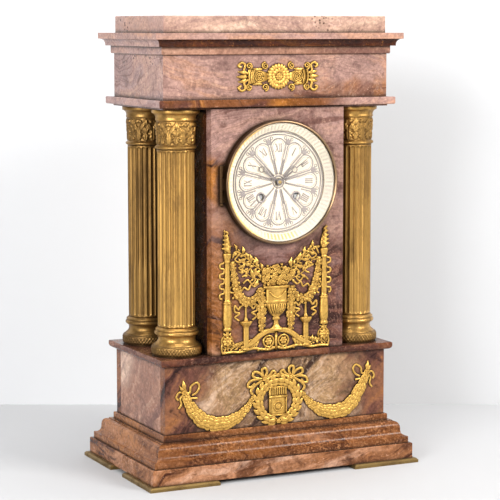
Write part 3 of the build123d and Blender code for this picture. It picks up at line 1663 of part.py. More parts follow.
with BuildPart() as urn_mount:
    base_z = column_z
    rim_z = base_z + urn_rim_rise
    with BuildSketch(front_plane(case_front_y, urn_mount_x)):
        for sx in (-1, 1):
            with BuildLine():
                Polyline(
                    (0, base_z + arm_waist_rise),
                    (0, base_z + arm_root_rise),
                    (sx * arm_root_x, base_z + arm_root_rise),
                    (sx * arm_waist, base_z + arm_waist_rise),
                    (sx * torch_x, base_z + arm_waist_rise),
                    (sx * arm_end, base_z + arm_end_rise),
                    (sx * arm_end, base_z + arm_foot),
                    (sx * arm_waist, base_z + arm_foot),
                    (sx * roundel_x, base_z + arm_foot),
                    close=True,
                )
            make_face()
            with Locations((sx * torch_x, base_z + rosette_rise)):
                Circle(rosette_radius)
            standing(
                sx * torchere_x,
                base_z,
                [
                    (torchere_half, torchere_foot_rise),
                    (torchere_half, torchere_cup_rise - torchere_cup_half),
                    (torchere_cup_half, torchere_cup_rise),
                    (edge_chamfer, torchere_cup_rise + torchere_half),
                    (edge_chamfer, torchere_top),
                ],
            )
            with Locations((sx * drop_x, base_z + (urn_rim_rise + drop_foot) / 2)):
                SlotOverall(urn_rim_rise - drop_foot, drop_width, rotation=90)
            leaf(
                (sx * branch_start[0], base_z + branch_start[1]),
                (sx * branch_end[0], base_z + branch_end[1]),
                branch_bow,
            )
            crescent(
                (sx * swag_start[0], base_z + swag_start[1]),
                (sx * swag_low[0], base_z + swag_low[1]),
                (sx * swag_end[0], base_z + swag_end[1]),
                swag_thickness,
                garland_tip,
            )
        with Locations((0, rim_z + flower_height / 2)):
            Ellipse(flower_half, flower_height / 2 + edge_chamfer)
    extrude(amount=mount_relief)
    with BuildSketch(front_plane(case_front_y, urn_mount_x)):
        for sx in (-1, 1):
            with Locations((sx * roundel_x, base_z + roundel_rise)):
                Circle(roundel_radius)
                Circle(roundel_radius - roundel_wall, mode=Mode.SUBTRACT)
            standing(
                sx * torch_x,
                base_z,
                [
                    (torch_shaft_radius, rosette_rise),
                    (torch_shaft_radius, torch_foot_rise),
                    (torch_foot_radius, torch_foot_rise),
                    (torch_foot_radius, torch_foot_rise + urn_foot_height),
                    (torch_body_radius, torch_body_rise),
                    (torch_knop_radius, torch_knop_rise),
                    (torch_shaft_radius, torch_knop_rise),
                    (torch_shaft_radius, torch_cup_rise),
                    (torch_cup_radius, torch_cup_rise),
                    (torch_flame_radius, torch_flame_rise),
                    (edge_chamfer, torch_top),
                ],
            )
    extrude(amount=mount_height)
    with BuildSketch(front_plane(case_front_y, urn_mount_x)):
        standing(
            0,
            base_z,
            [
                (urn_foot_radius, urn_foot_rise - urn_foot_height),
                (urn_foot_radius, urn_foot_rise),
                (urn_stem_radius, urn_foot_rise + urn_foot_height),
                (urn_stem_radius, urn_stem_rise),
                (urn_stem_radius + urn_foot_height, urn_bowl_foot_rise),
                (urn_bowl_radius, (urn_bowl_foot_rise + urn_bowl_rise) / 2),
                (urn_bowl_radius, urn_bowl_rise),
                (urn_rim_radius, urn_rim_rise),
            ],
        )
    extrude(amount=urn_height)
save(urn_mount, "urn_mount")
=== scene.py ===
import json
from functools import cache, partial
from math import cos, pi, radians, sin, sqrt

import bpy
import numpy as np
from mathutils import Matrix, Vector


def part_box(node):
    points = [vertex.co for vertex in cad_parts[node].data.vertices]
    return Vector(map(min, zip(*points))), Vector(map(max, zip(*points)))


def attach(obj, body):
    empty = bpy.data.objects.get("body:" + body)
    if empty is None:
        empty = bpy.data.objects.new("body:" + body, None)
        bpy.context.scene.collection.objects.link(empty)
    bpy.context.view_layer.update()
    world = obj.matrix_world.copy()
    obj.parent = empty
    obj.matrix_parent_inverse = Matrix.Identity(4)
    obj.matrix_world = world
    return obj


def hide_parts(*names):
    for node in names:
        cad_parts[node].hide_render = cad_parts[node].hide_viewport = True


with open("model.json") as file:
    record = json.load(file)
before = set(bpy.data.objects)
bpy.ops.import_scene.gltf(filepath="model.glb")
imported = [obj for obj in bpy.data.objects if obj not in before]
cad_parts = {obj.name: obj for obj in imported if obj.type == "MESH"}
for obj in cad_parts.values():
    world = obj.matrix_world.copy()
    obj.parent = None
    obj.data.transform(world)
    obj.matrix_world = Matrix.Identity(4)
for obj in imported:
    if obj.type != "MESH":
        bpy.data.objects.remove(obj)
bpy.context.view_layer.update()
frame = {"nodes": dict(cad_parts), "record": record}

bl_info = {
    "name": "Portico Clock Dressing",
    "version": (1, 0, 0),
    "blender": (4, 5, 0),
    "location": "View3D > Sidebar > Portico Clock",
    "description": "Carved mounts, columns, dial relief and finishes for an onyx portico clock",
    "category": "Object",
}

MM = 0.001


def node_box(node):
    """A CAD node's lowest and highest corners in millimetres."""
    low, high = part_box(node)
    return np.array(low) * 1000.0, np.array(high) * 1000.0


def node_middle(node):
    """The middle of a CAD node's box in millimetres."""
    low, high = node_box(node)
    return (low + high) / 2


CASE_LEFT, CASE_FACE, CASE_FOOT = node_box("case_front")[0]
_, PEDESTAL_FACE, PEDESTAL_FOOT = node_box("pedestal_front")[0]
FRIEZE_FACE = node_box("frieze_panels")[0][1]
DIAL_FACE = node_box("dial")[0][1]
DIAL_MIDDLE = node_middle("dial")[2]
FRIEZE_MIDDLE = (0.0, node_middle("frieze_mount")[2])
URN_MIDDLE = (node_middle("urn_mount")[0], CASE_FOOT)
WREATH_MIDDLE = (0.0, PEDESTAL_FOOT + 25.2)
GARLAND_MIDDLE = (0.0, PEDESTAL_FOOT)
SHAFT_LOW, SHAFT_HIGH = node_box("column_shafts")
COLUMN_RADIUS = 19.5
COLUMN_X, COLUMN_Y = SHAFT_HIGH[:2] - COLUMN_RADIUS
COLUMN_AXES = [(sx * COLUMN_X, sy * COLUMN_Y) for sx in (-1, 1) for sy in (-1, 1)]
TOP_CORNER = node_box("top_block")[1]
MITRE_STEP = float(TOP_CORNER[0] - TOP_CORNER[1]) * MM
CORNICE_UPRIGHT = node_box("cornice")[0][2] * MM + 0.0073
GOLDEN_TURN = 2.39996
TORCH_OUT, STAND_OUT = 56.5, 35
WREATH_WIDE, WREATH_TALL = 22.8, 21.6
# Reaches of the painted shade: with dirt on the stone's corners, with patina in the metal's hollows.
DIRT_AND_SHADE_REACH, HOLLOW_SHADE_REACH = 0.007, 0.004
HOURS = ("XII", "I", "II", "III", "IIII", "V", "VI", "VII", "VIII", "IX", "X", "XI")
ONYX_COLOURS = ("Body", "Cloud", "Line", "Band", "Patch")
ONYX_SHARES = ("Band share", "Cloud share", "Patch share", "Line share")


def length(name, text, default, smallest, largest):
    """A size that a user can change, given in millimetres and kept in metres."""
    return bpy.props.FloatProperty(
        name=name, description=text, default=default * MM, min=smallest * MM, max=largest * MM,
        precision=5, unit="LENGTH",
    )


def metres(name, text, default):
    """A distance on the stage."""
    return bpy.props.FloatProperty(name=name, description=text, default=default, unit="LENGTH")


def angle(name, text, degrees):
    """An angle of the camera, given in degrees."""
    return bpy.props.FloatProperty(name=name, description=text, default=radians(degrees), subtype="ANGLE")


def colour(name, text, default):
    """A linear colour that a user can change."""
    return bpy.props.FloatVectorProperty(
        name=name, description=text, default=default, subtype="COLOR", size=3, min=0.0, max=1.0
    )


class PorticoStone(bpy.types.PropertyGroup):
    """Colours and scale of the banded onyx."""

    mauve: colour("Mauve", "Main body of the stone", (0.150, 0.070, 0.056))
    peach: colour("Peach", "Light clouds in the stone", (0.430, 0.225, 0.145))
    lilac: colour("Lilac", "Greyer part of the light stone", (0.335, 0.215, 0.195))
    moss: colour("Moss", "Olive gold of the pedestal", (0.300, 0.185, 0.080))
    cream: colour("Cream", "Agate lines and white patches", (0.620, 0.455, 0.345))
    plum: colour("Plum", "Dark bands", (0.019, 0.007, 0.006))
    amber: colour("Amber", "Golden patches", (0.340, 0.128, 0.024))
    russet: colour("Russet", "Red brown of the mouldings", (0.085, 0.022, 0.008))
    # Both old dirt and painted shade, laid in corners and round the mounts.
    dirt_and_shade: colour("Dirt", "Old dirt in corners and round the mounts", (0.020, 0.012, 0.008))
    vein_size: bpy.props.FloatProperty(
        name="Vein scale", description="Size of the veining, larger is finer", default=1.0, min=0.2, max=5.0
    )


class PorticoMetal(bpy.types.PropertyGroup):
    """Colours of the gilding, the bronze and the dial."""

    gilt: colour("Gilt", "Matt gilding of the mounts", (0.700, 0.420, 0.100))
    # Gilt shade serves both the patina and the painted shade in the casting's hollows.
    gilt_shade: colour("Gilt shade", "Gilding in the hollows", (0.095, 0.042, 0.009))
    bronze: colour("Bronze", "Worn bronze of the columns", (0.520, 0.295, 0.080))
    # Bronze shade is the patina and also the painted shade in the flutes, on the rear columns and on the
    # bezel's sides.
    bronze_shade: colour("Bronze shade", "Patina on the columns", (0.072, 0.038, 0.016))
    bezel: colour("Bezel", "Rubbed gilding of the bezel", (0.230, 0.145, 0.080))
    foot: colour("Foot brass", "Dull brass of the feet", (0.260, 0.170, 0.060))
    brass: colour("Brass", "Movement plates and wheels", (0.620, 0.430, 0.150))
    ivory: colour("Ivory", "Silvered dial", (0.540, 0.470, 0.370))
    etch: colour("Etch", "Lines on the dial", (0.215, 0.185, 0.172))


class PorticoRelief(bpy.types.PropertyGroup):
    """Sizes of the carved and cast work."""

    wall: length("Casting edge", "Height of a mount's edge above the stone", 1.0, 0.2, 4.0)
    leaf_rise: length("Leaf rise", "How far a leaf stands above its edge", 1.3, 0.2, 4.0)
    flute_depth: length("Flute depth", "Depth of the column flutes", 1.5, 0.2, 3.0)
    flute_fillet: length("Flute fillet", "Flat between two flutes", 0.9, 0.2, 2.0)
    carving_depth: length("Carving depth", "Depth of the carving on capitals and bases", 1.9, 0.2, 3.0)
    dial_rise: length("Dial rise", "Height of the dial's raised lines", 0.4, 0.05, 0.7)
    flutes: bpy.props.IntProperty(
        name="Flutes", description="Flutes on each column", default=24, min=8, max=40
    )


class PorticoStage(bpy.types.PropertyGroup):
    """Camera and light."""

    distance: metres("Distance", "From the clock's axis to the camera", 1.982)
    height: metres("Height", "Camera height", 0.4705)
    heading: angle("Heading", "Turn of the camera to the left of the front", 25.76)
    pitch: angle("Pitch", "Tilt of the camera below level", 6.93)
    lens: bpy.props.FloatProperty(
        name="Lens", description="Focal length on a 36 mm sensor", default=133.3, unit="CAMERA"
    )
    wall_back: metres("Wall", "From the clock's axis to the wall", 0.290)
    floor_tone: colour("Floor", "Pale floor", (0.51, 0.512, 0.52))
    wall_tone: colour("Backdrop", "Pale wall", (0.66, 0.668, 0.68))


GROUPS = {
    "portico_stone": PorticoStone,
    "portico_metal": PorticoMetal,
    "portico_relief": PorticoRelief,
    "portico_stage": PorticoStage,
}


def settings(kind):
    """The scene's property group of that kind."""
    return getattr(bpy.context.scene, "portico_" + kind)


def size_of(name):
    """A relief size in millimetres."""
    return round(getattr(settings("relief"), name) / MM, 6)


def tones_of(kind, *names):
    """Colours of a property group, as tuples."""
    return [tuple(getattr(settings(kind), name)) for name in names]


def dimmed(tone, share):
    """A colour times a share."""
    return tuple(share * c for c in tone)


def mix(first, second, share):
    """A colour between two others."""
    return tuple((1 - share) * a + share * b for a, b in zip(first, second))


def faces_of(rings):
    """Quads round a stack of rings and fans over its two ends, whose middles are the last two points."""
    count, around, _ = rings.shape
    step = np.arange(count - 1)[:, None] * around
    here = np.arange(around)[None]
    there = (here + 1) % around
    corners = [step + here, step + there, step + around + there, step + around + here]
    quads = np.stack(corners, -1).reshape(-1, 4)
    last = (count - 1) * around
    low = np.full(around, count * around)
    fan_low = np.stack([low, there[0], here[0]], -1)
    fan_high = np.stack([low + 1, last + here[0], last + there[0]], -1)
    return quads, np.concatenate([fan_low, fan_high])


def closed_skin(rings):
    """A closed skin through rings of points, shape (rings, around, 3), turned so that its volume is
    positive."""
    quads, fans = faces_of(rings)
    points = np.concatenate([rings.reshape(-1, 3), rings[:1].mean(1), rings[-1:].mean(1)])
    triangles = np.concatenate([quads[:, [0, 1, 2]], quads[:, [0, 2, 3]], fans])
    middle = points.mean(0)
    a, b, c = (points[triangles[:, n]] - middle for n in range(3))
    if np.einsum("ij,ij->i", a, np.cross(b, c)).sum() < 0:
        quads, fans = quads[:, ::-1], fans[:, ::-1]
    return points, quads, fans


def put_object(name, data):
    """An object in the scene that holds the data."""
    item = bpy.data.objects.new(name, data)
    bpy.context.scene.collection.objects.link(item)
    return item


def put_mesh(name, skins, material):
    """Joins closed skins, given in millimetres, into one smooth mesh object that stands at the origin."""
    first = np.cumsum([0] + [len(skin[0]) for skin in skins])
    points = np.concatenate([skin[0] for skin in skins]) * MM
    quads = np.concatenate([skin[1] + base for skin, base in zip(skins, first)])
    fans = np.concatenate([skin[2] + base for skin, base in zip(skins, first)])
    corners = np.concatenate([quads.ravel(), fans.ravel()]).astype(np.int32)
    starts = np.concatenate([np.arange(len(quads)) * 4, len(quads) * 4 + np.arange(len(fans)) * 3])
    mesh = bpy.data.meshes.new(name)
    mesh.vertices.add(len(points))
    mesh.vertices.foreach_set("co", points.astype(np.float32).ravel())
    mesh.loops.add(len(corners))
    mesh.loops.foreach_set("vertex_index", corners)
    mesh.polygons.add(len(starts))
    mesh.polygons.foreach_set("loop_start", starts.astype(np.int32))
    mesh.polygons.foreach_set("use_smooth", np.ones(len(starts), bool))
    mesh.update(calc_edges=True)
    mesh.validate()
    mesh.materials.append(material)
    return put_object(name, mesh)


def place(piece, body, slot, *nodes):
    """Lets a piece ride on a body and stand for CAD nodes, which it hides. The slot is not used."""
    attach(piece, body)
    if nodes:
        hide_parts(*nodes)


def spots(side, middle, *numbers):
    """Points given as x, z, x, z and so on from a mount's middle, with x mirrored for the left side."""
    return np.reshape(numbers, (-1, 2)) * (side, 1) + middle


def smooth_path(points, count):
    """A smooth line through points: each cubic leaves a point along the line of its neighbours."""
    knots = np.asarray(points, float)
    knots = np.concatenate([2 * knots[:1] - knots[1:2], knots, 2 * knots[-1:] - knots[-2:-1]])
    span = np.linspace(0, len(knots) - 3, count)
    first = np.minimum(span.astype(int), len(knots) - 4)
    t = (span - first)[:, None]
    a, b, c, d = (knots[first + n] for n in range(4))
    return 0.5 * (2 * b + (c - a) * t + (2 * a - 5 * b + 4 * c - d) * t**2 + (3 * b - a - 3 * c + d) * t**3)


def hanging(start, low, end, count):
    """A hanging line: the parabola from start to end that passes low halfway."""
    pull = 2 * low - (start + end) / 2
    t = np.linspace(0, 1, count)[:, None]
    return (1 - t) ** 2 * start + 2 * t * (1 - t) * pull + t**2 * end


def directions(path):
    """Unit vectors along a path, and across it to the left."""
    along = np.gradient(path, axis=0)
    along /= np.maximum(np.linalg.norm(along, axis=1), 1e-9)[:, None]
    return along, np.stack([-along[:, 1], along[:, 0]], -1)


def ahead(face, edges):
    """A plane that many casting edges in front of a wall."""
    return face - edges * size_of("wall")


def sweep(face, path, half, rise, edge=1.0, sides=7, reeds=0, vein=0.0):
    """A cast strip on a wall: across each point of a path it rises from its edge by sin(angle), with
    half-width and rise given along the path and the edge in casting edges. Reeds ripple it round the
    section, and vein sinks its middle line."""
    path = np.asarray(path, float)
    half = np.broadcast_to(np.asarray(half, float), len(path))
    rise = np.broadcast_to(np.asarray(rise, float), len(path))
    across = directions(path)[1]
    turn = np.linspace(0, pi, sides)
    ripple = 1 + 0.16 * np.cos(reeds * turn) * (reeds > 0)
    bow = np.sin(turn) * ripple - vein * np.exp(-((np.cos(turn) / 0.3) ** 2))
    offset = half[:, None] * np.cos(turn)[None]
    flat = path[:, None, :] + across[:, None, :] * offset[..., None]
    lip = np.minimum(edge * size_of("wall"), 0.4 * half + 0.25)
    out = lip[:, None] + rise[:, None] * bow[None]
    front = np.stack([flat[..., 0], face - out, flat[..., 1]], -1)
    foot = front[:, [-1, 0]].copy()
    foot[..., 1] = face
    return closed_skin(np.concatenate([front, foot], 1))


def leaf(face, start, end, width, bend=0.0, lobes=3, edge=1.0, steps=9, rise=None):
    """A leaf: half-width sin(pi t^0.8) along a bowed line, cut into lobes, with its vein sunk."""
    start, end = np.asarray(start, float), np.asarray(end, float)
    rise = size_of("leaf_rise") if rise is None else rise
    t = np.linspace(0.02, 0.98, steps)
    line = end - start
    normal = np.array([-line[1], line[0]]) * bend
    path = start + line * t[:, None] + normal * (4 * t * (1 - t))[:, None]
    half = width / 2 * np.sin(pi * t**0.8) ** 0.9 * (1 + 0.2 * np.cos(2 * pi * lobes * t))
    return sweep(face, path, np.maximum(half, 0.12), rise * np.sin(pi * t) ** 0.6, edge, 7, 0, 0.35)


def flower(face, centre, radius, petals=5, rise=1.4, edge=1.0, fine=3):
    """A flower: over a disc the height dips round a boss and swells in petals, and the rim follows the
    petals."""
    theta = np.linspace(0, 2 * pi, petals * fine, endpoint=False)
    share = np.array([1.0, 1.0, 0.86, 0.58, 0.34, 0.2, 0.08])[:, None]
    lift = np.array([0.0, 0.0, 0.75, 1.0, 0.5, 0.95, 1.15])[:, None]
    ripple = np.cos(petals * theta)
    rim = radius * (1 + 0.13 * ripple * (share > 0.4)) * share
    out = edge * size_of("wall") + rise * lift * (1 + 0.22 * ripple * (share > 0.3))
    out[0] = 0.0
    x, z = centre[0] + rim * np.cos(theta), centre[1] + rim * np.sin(theta)
    return closed_skin(np.stack([x, face - out, z], -1))


def circle(centre, radius, theta):
    """Points on a circle or, where the radius changes with the angle, on a spiral."""
    return np.stack([centre[0] + radius * np.cos(theta), centre[1] + radius * np.sin(theta)], -1)


def roundel(face, centre, radius, tube, edge=1.0, count=40):
    """A raised ring on a wall: a half-round strip whose two ends meet on a circle."""
    return sweep(face, circle(centre, radius, np.linspace(0, 2 * pi, count)), tube, tube, edge)


def scroll(face, centre, outer, begin, inner=0.6, turns=1.6, count=44):
    """A scroll: a strip on a spiral whose radius falls evenly from outer to inner while it turns."""
    t = np.linspace(0, 1, count)
    path = circle(centre, outer + (inner - outer) * t, begin + 2 * pi * turns * t)
    return sweep(face, path, 1 - 0.3 * t, 1.2, 1.0, 6)


def standing(face, axis, profile, depth, edge=1.0, reeds=0, sides=13, count=70):
    """A turned form on a wall: a half-round whose half-widths are given with their heights above the
    axis's foot, its front depth times as deep."""
    rises, halves = np.reshape(profile, (-1, 2)).astype(float).T
    z = np.unique(np.concatenate([np.linspace(rises[0], rises[-1], count), rises]))
    half = np.interp(z, rises, halves)
    path = np.stack([np.full(len(z), axis[0]), axis[1] + z], -1)
    return sweep(face, path, half, half * depth, edge, sides, reeds)


def ribbon(face, points, half, rise=0.8, edge=1.0, count=46):
    """A ribbon: a narrow strip along a smooth line through points, with a sunk middle."""
    return sweep(face, smooth_path(points, count), half, rise, edge, 6, 0, 0.3)


def festoon(face, path, thickness, rise, blossoms, ends, leafy=False):
    """A garland: a core that swells as a power of sin(pi t) along a path, from a share at its ends, with
    rows of leaf scales across it, or of blossoms among which every third is a leaf."""
    count = len(path)
    power, rows = (1.25, 5) if leafy else (0.8, 3)
    half = thickness / 2 * (ends + (1 - ends) * np.sin(pi * np.linspace(0, 1, count)) ** power)
    skins = [sweep(face, path, 0.9 * half, 0.7 * rise * half / half.max(), 1.0, 9)]
    along, across = directions(path)
    for n, spot in enumerate(np.linspace(0.03, 0.97, blossoms)):
        k = int(round(spot * (count - 1)))
        forward, aside, size = along[k], across[k], half[k]
        for order, row in enumerate(np.linspace(-0.78, 0.78, rows)):
            middle = path[k] + aside * size * (row + 0.08 * sin(5.1 * n + row))
            middle = middle + forward * (1.3 * (order % 2) + 0.16 * size * sin(3.7 * n + 2.1 * row))
            front = ahead(face, 0.5) - 0.62 * rise * size / half.max() * (1 - 0.8 * row**2)
            if leafy or not (n + int(row * 3)) % 3:
                start = middle - forward * size * 0.35
                tip = middle + forward * size * 0.62 + aside * size * 0.22 * np.sign(row)
                skins.append(leaf(front, start, tip, 0.58 * size, 0.1, 0, 0.6, 7, 0.26 * rise))
            else:
                skins.append(flower(front, middle, 0.43 * size + 0.35, 5, 0.45 * rise, 0.6))
    return skins


def sprig(face, path, leaves, size, spread=0.8):
    """A branch: a thin stem along a path with uneven leaves set in turn to either side."""
    skins = [sweep(face, path, 0.55, 0.7, 1.0, 5)]
    along = directions(path)[0]
    for n, spot in enumerate(np.linspace(0.08, 1.0, leaves)):
        k = int(round(spot * (len(path) - 1)))
        side = 1 if n % 2 else -1
        turn = side * (spread + 0.3 * sin(2.3 * n))
        c, s = cos(turn), sin(turn)
        heading = np.array([along[k, 0] * c - along[k, 1] * s, along[k, 0] * s + along[k, 1] * c])
        grown = size * (1.0 - 0.3 * spot) * (0.85 + 0.3 * sin(1.9 * n))
        skins.append(leaf(face, path[k], path[k] + heading * grown, 0.38 * grown, 0.14 * side, 2))
    return skins


def mirrored(build):
    """Both halves of a mount: what build makes for the right side and for the left."""
    return [skin for side in (1, -1) for skin in build(side)]


def node_of(tree, kind):
    """A tree's own node of that kind."""
    return next(node for node in tree.nodes if node.type == kind)


class Nodes:
    """A material's or group's node tree with short ways to add and join nodes."""

    def __init__(self, tree):
        self.tree = tree

    def give(self, socket, value):
        """Joins an output to an input socket, or gives it a number, a vector or a colour."""
        if isinstance(value, bpy.types.NodeSocket):
            self.tree.links.new(value, socket)
        elif socket.type == "RGBA":
            socket.default_value = (*value, 1.0)
        else:
            socket.default_value = value

    def add(self, kind, inputs=(), **attributes):
        """Adds a node, setting its attributes and its inputs by name or number."""
        node = self.tree.nodes.new(kind)
        for name, value in attributes.items():
            setattr(node, name, value)
        for key, value in dict(inputs).items():
            self.give(node.inputs[key], value)
        return node

    def maths(self, operation, *inputs):
        """A Math node's value."""
        return self.add("ShaderNodeMath", enumerate(inputs), operation=operation).outputs[0]

    def vector(self, operation, *inputs):
        """A Vector Math node's vector."""
        return self.add("ShaderNodeVectorMath", enumerate(inputs), operation=operation).outputs[0]

    def blend(self, factor, first, second, kind="MIX"):
        """A colour between two others by a factor."""
        inputs = {0: factor, 6: first, 7: second}
        return self.add("ShaderNodeMix", inputs, data_type="RGBA", blend_type=kind).outputs[2]

    def step(self, value, low, high, bottom=0.0, top=1.0):
        """A smooth step from bottom to top as a value goes from low to high."""
        inputs = enumerate((value, low, high, bottom, top))
        return self.add("ShaderNodeMapRange", inputs, interpolation_type="SMOOTHSTEP").outputs[0]

    def noise(self, vector, scale, detail=4.0, rough=0.55, twist=0.0):
        """A Noise texture's value."""
        inputs = {"Vector": vector, "Scale": scale, "Detail": detail, "Roughness": rough, "Distortion": twist}
        return self.add("ShaderNodeTexNoise", inputs).outputs[0]

    def drift(self, vector, scale, detail, reach):
        """A coordinate that a noise pushes about."""
        waver = self.add("ShaderNodeTexNoise", {"Vector": vector, "Scale": scale, "Detail": detail})
        return self.vector("MULTIPLY_ADD", waver.outputs["Color"], (reach, reach, reach), vector)

    def bump(self, height, strength, distance):
        """A Bump node's normal."""
        inputs = {"Strength": strength, "Distance": distance, "Height": height}
        return self.add("ShaderNodeBump", inputs).outputs[0]

    def openness(self, distance):
        """How far a surface lies open within a distance, from 0 in a deep corner to 1."""
        return self.add("ShaderNodeAmbientOcclusion", {"Distance": distance}, samples=8).outputs["AO"]

    def object_place(self):
        """The Object coordinate."""
        return self.add("ShaderNodeTexCoord").outputs["Object"]

    def axes(self, place):
        """A coordinate's three values."""
        return self.add("ShaderNodeSeparateXYZ", {0: place}).outputs

    def turned(self, place, shift=(0, 0, 0), turn=(0, 0), scale=(1.0, 1.0, 1.0)):
        """A coordinate shifted, turned about x and y in degrees, and scaled."""
        inputs = {
            "Vector": place, "Location": shift, "Rotation": (*map(radians, turn), 0.0), "Scale": scale,
        }
        return self.add("ShaderNodeMapping", inputs).outputs[0]

    def clear_where(self, factor, shader):
        """Lets a material's shader show nothing where the factor is 1."""
        gap = self.add("ShaderNodeBsdfTransparent")
        both = self.add("ShaderNodeMixShader", enumerate((factor, shader.outputs[0], gap.outputs[0])))
        self.give(node_of(self.tree, "OUTPUT_MATERIAL").inputs["Surface"], both.outputs[0])


def new_group(name, inputs, outputs):
    """A shader node group with named sockets, and its nodes, group input and group output."""
    tree = bpy.data.node_groups.new(name, "ShaderNodeTree")
    for direction, sockets in (("INPUT", inputs), ("OUTPUT", outputs)):
        for label, kind in sockets.items():
            tree.interface.new_socket(label, in_out=direction, socket_type="NodeSocket" + kind)
    nodes = Nodes(tree)
    return nodes, nodes.add("NodeGroupInput").outputs, nodes.add("NodeGroupOutput").inputs


@cache
def onyx_group():
    """Banded onyx: noise bends a coordinate, and a noise that is much finer across the layers than along
    them is cut into body, cloud, dark and pale bands. Agate contours, specks, cracks and pits lie over
    them."""
    nodes, given, made = new_group(
        "onyx_veining",
        {"Vector": "Vector", **dict.fromkeys(ONYX_COLOURS, "Color"), **dict.fromkeys(ONYX_SHARES, "Float")},
        {"Color": "Color", "Roughness": "Float", "Height": "Float"},
    )
    maths, step, noise = nodes.maths, nodes.step, nodes.noise
    band_share, cloud_share, patch_share, line_share = (given[label] for label in ONYX_SHARES)
    place = given["Vector"]
    bent = nodes.drift(nodes.drift(place, 8.0, 1.6, 0.075), 34.0, 1.6, 0.013)
    flat = nodes.vector("MULTIPLY", bent, (7.0, 7.0, 64.0))
    layers = noise(flat, 1.0, 7.0, 0.62)
    strata = noise(flat, 0.7, 2.5, 0.5)
    clouds = noise(bent, 15.0, 6.0, 0.6, 0.6)
    regions = noise(bent, 10.0, 3.0, 0.5, 0.9)
    mottle = noise(bent, 75.0, 6.0, 0.68, 0.4)
    grain = noise(place, 330.0, 4.0, 0.7)

    def both(first, second):
        return maths("MULTIPLY", first, second)

    def contours(value, count):
        return maths("ABSOLUTE", maths("SUBTRACT", maths("FRACT", both(value, count)), 0.5))

    contour, ripple = contours(clouds, 15.0), contours(strata, 14.0)
    agate = step(regions, 0.47, 0.56)
    cloud = maths("ADD", both(layers, 0.6), both(clouds, 0.4))
    gold = both(step(regions, 0.50, 0.58), step(mottle, 0.36, 0.56))
    dusk = both(step(clouds, 0.47, 0.37), 0.6)
    thin = both(step(ripple, 0.20, 0.04), step(clouds, 0.40, 0.56, 0.75, 0.2))
    pale = both(step(layers, 0.57, 0.66), step(mottle, 0.38, 0.54))
    curl = both(both(step(contour, 0.15, 0.03), agate), 0.45)
    tone = given["Body"]
    for mask, share, label in (
        (step(cloud, 0.47, 0.55), cloud_share, "Cloud"),
        (gold, patch_share, "Patch"),
        (step(layers, 0.45, 0.37), band_share, "Band"),
        (dusk, band_share, "Band"),
        (thin, line_share, "Band"),
        (both(step(contour, 0.36, 0.48), agate), both(line_share, 0.3), "Band"),
        (maths("MAXIMUM", both(pale, 0.8), curl), line_share, "Line"),
    ):
        tone = nodes.blend(both(mask, share), tone, given[label])
    tone = nodes.blend(step(grain, 0.60, 0.70, 0.0, 0.45), tone, given["Line"])
    tone = nodes.blend(step(mottle, 0.43, 0.31, 0.0, 0.65), tone, given["Band"])
    bright = both(step(grain, 0.30, 0.66, 0.76, 1.18), step(mottle, 0.30, 0.66, 0.84, 1.14))
    shade = nodes.add("ShaderNodeCombineColor", enumerate((bright, bright, bright)))
    tone = nodes.blend(1.0, tone, shade.outputs[0], "MULTIPLY")
    frayed = {"Vector": nodes.drift(bent, 60.0, 5.0, 0.014), "Scale": 14.0}
    cells = nodes.add("ShaderNodeTexVoronoi", frayed, feature="DISTANCE_TO_EDGE")
    crack = both(step(cells.outputs[0], 0.012, 0.002), step(mottle, 0.47, 0.58, 0.0, 0.45))
    pits = both(step(grain, 0.345, 0.30), step(regions, 0.50, 0.60))
    worn = maths("MAXIMUM", crack, pits)
    nodes.give(made["Color"], nodes.blend(both(worn, 0.8), tone, given["Band"]))
    nodes.give(made["Roughness"], step(mottle, 0.3, 0.7, 0.14, 0.30))
    nodes.give(made["Height"], maths("SUBTRACT", both(mottle, 0.10), worn))
    return nodes.tree


@cache
def patina_group():
    """Patina: broad and fine noise give a mask, which carries a bright colour over to a dark one."""
    nodes, given, made = new_group(
        "metal_patina",
        {"Vector": "Vector", "Bright": "Color", "Dark": "Color", "Share": "Float", "Fineness": "Float"},
        {"Color": "Color", "Mask": "Float", "Height": "Float"},
    )
    maths = nodes.maths
    broad = nodes.noise(given["Vector"], given["Fineness"], 5.0, 0.62)
    fine = nodes.noise(given["Vector"], 900.0, 4.0, 0.7)
    height = maths("ADD", maths("MULTIPLY", broad, 0.75), maths("MULTIPLY", fine, 0.25))
    mask = maths("MULTIPLY", nodes.step(height, 0.43, 0.62), given["Share"])
    nodes.give(made["Color"], nodes.blend(mask, given["Bright"], given["Dark"]))
    nodes.give(made["Mask"], mask)
    nodes.give(made["Height"], height)
    return nodes.tree


def new_material(name):
    """A material with a Principled shader, its nodes, the shader and an Object coordinate."""
    material = bpy.data.materials.new(name)
    material.use_nodes = True
    nodes = Nodes(material.node_tree)
    return material, nodes, node_of(material.node_tree, "BSDF_PRINCIPLED"), nodes.object_place()


def finish(nodes, shader, **values):
    """Sets a shader's inputs, named with lines for spaces."""
    for name, value in values.items():
        nodes.give(shader.inputs[name.replace("_", " ")], value)


def veins(nodes, place, colours, shares, shift, turn):
    """One onyx: the veining group with its colours, its shares of bands, clouds, patches and lines, and
    its lie."""
    size = settings("stone").vein_size
    inputs = {"Vector": nodes.turned(place, shift, turn, (size, size, size))}
    inputs.update(zip(ONYX_COLOURS + ONYX_SHARES, colours + shares))
    return nodes.add("ShaderNodeGroup", inputs, node_tree=onyx_group()).outputs


def one_colour(tone):
    """An onyx of one colour without veins."""
    return (tone,) * 5, (0.0,) * 4, (0.0,) * 3, (0, 0)


def mitre(nodes, axes, uneven):
    """A mask of the end strips, which meet the front and back ones where |x| is |y| and a step more."""
    reach = nodes.maths("ADD", nodes.maths("ABSOLUTE", axes[1]), MITRE_STEP)
    return nodes.step(nodes.maths("SUBTRACT", nodes.maths("ABSOLUTE", axes[0]), reach), -0.0004, 0.0004)


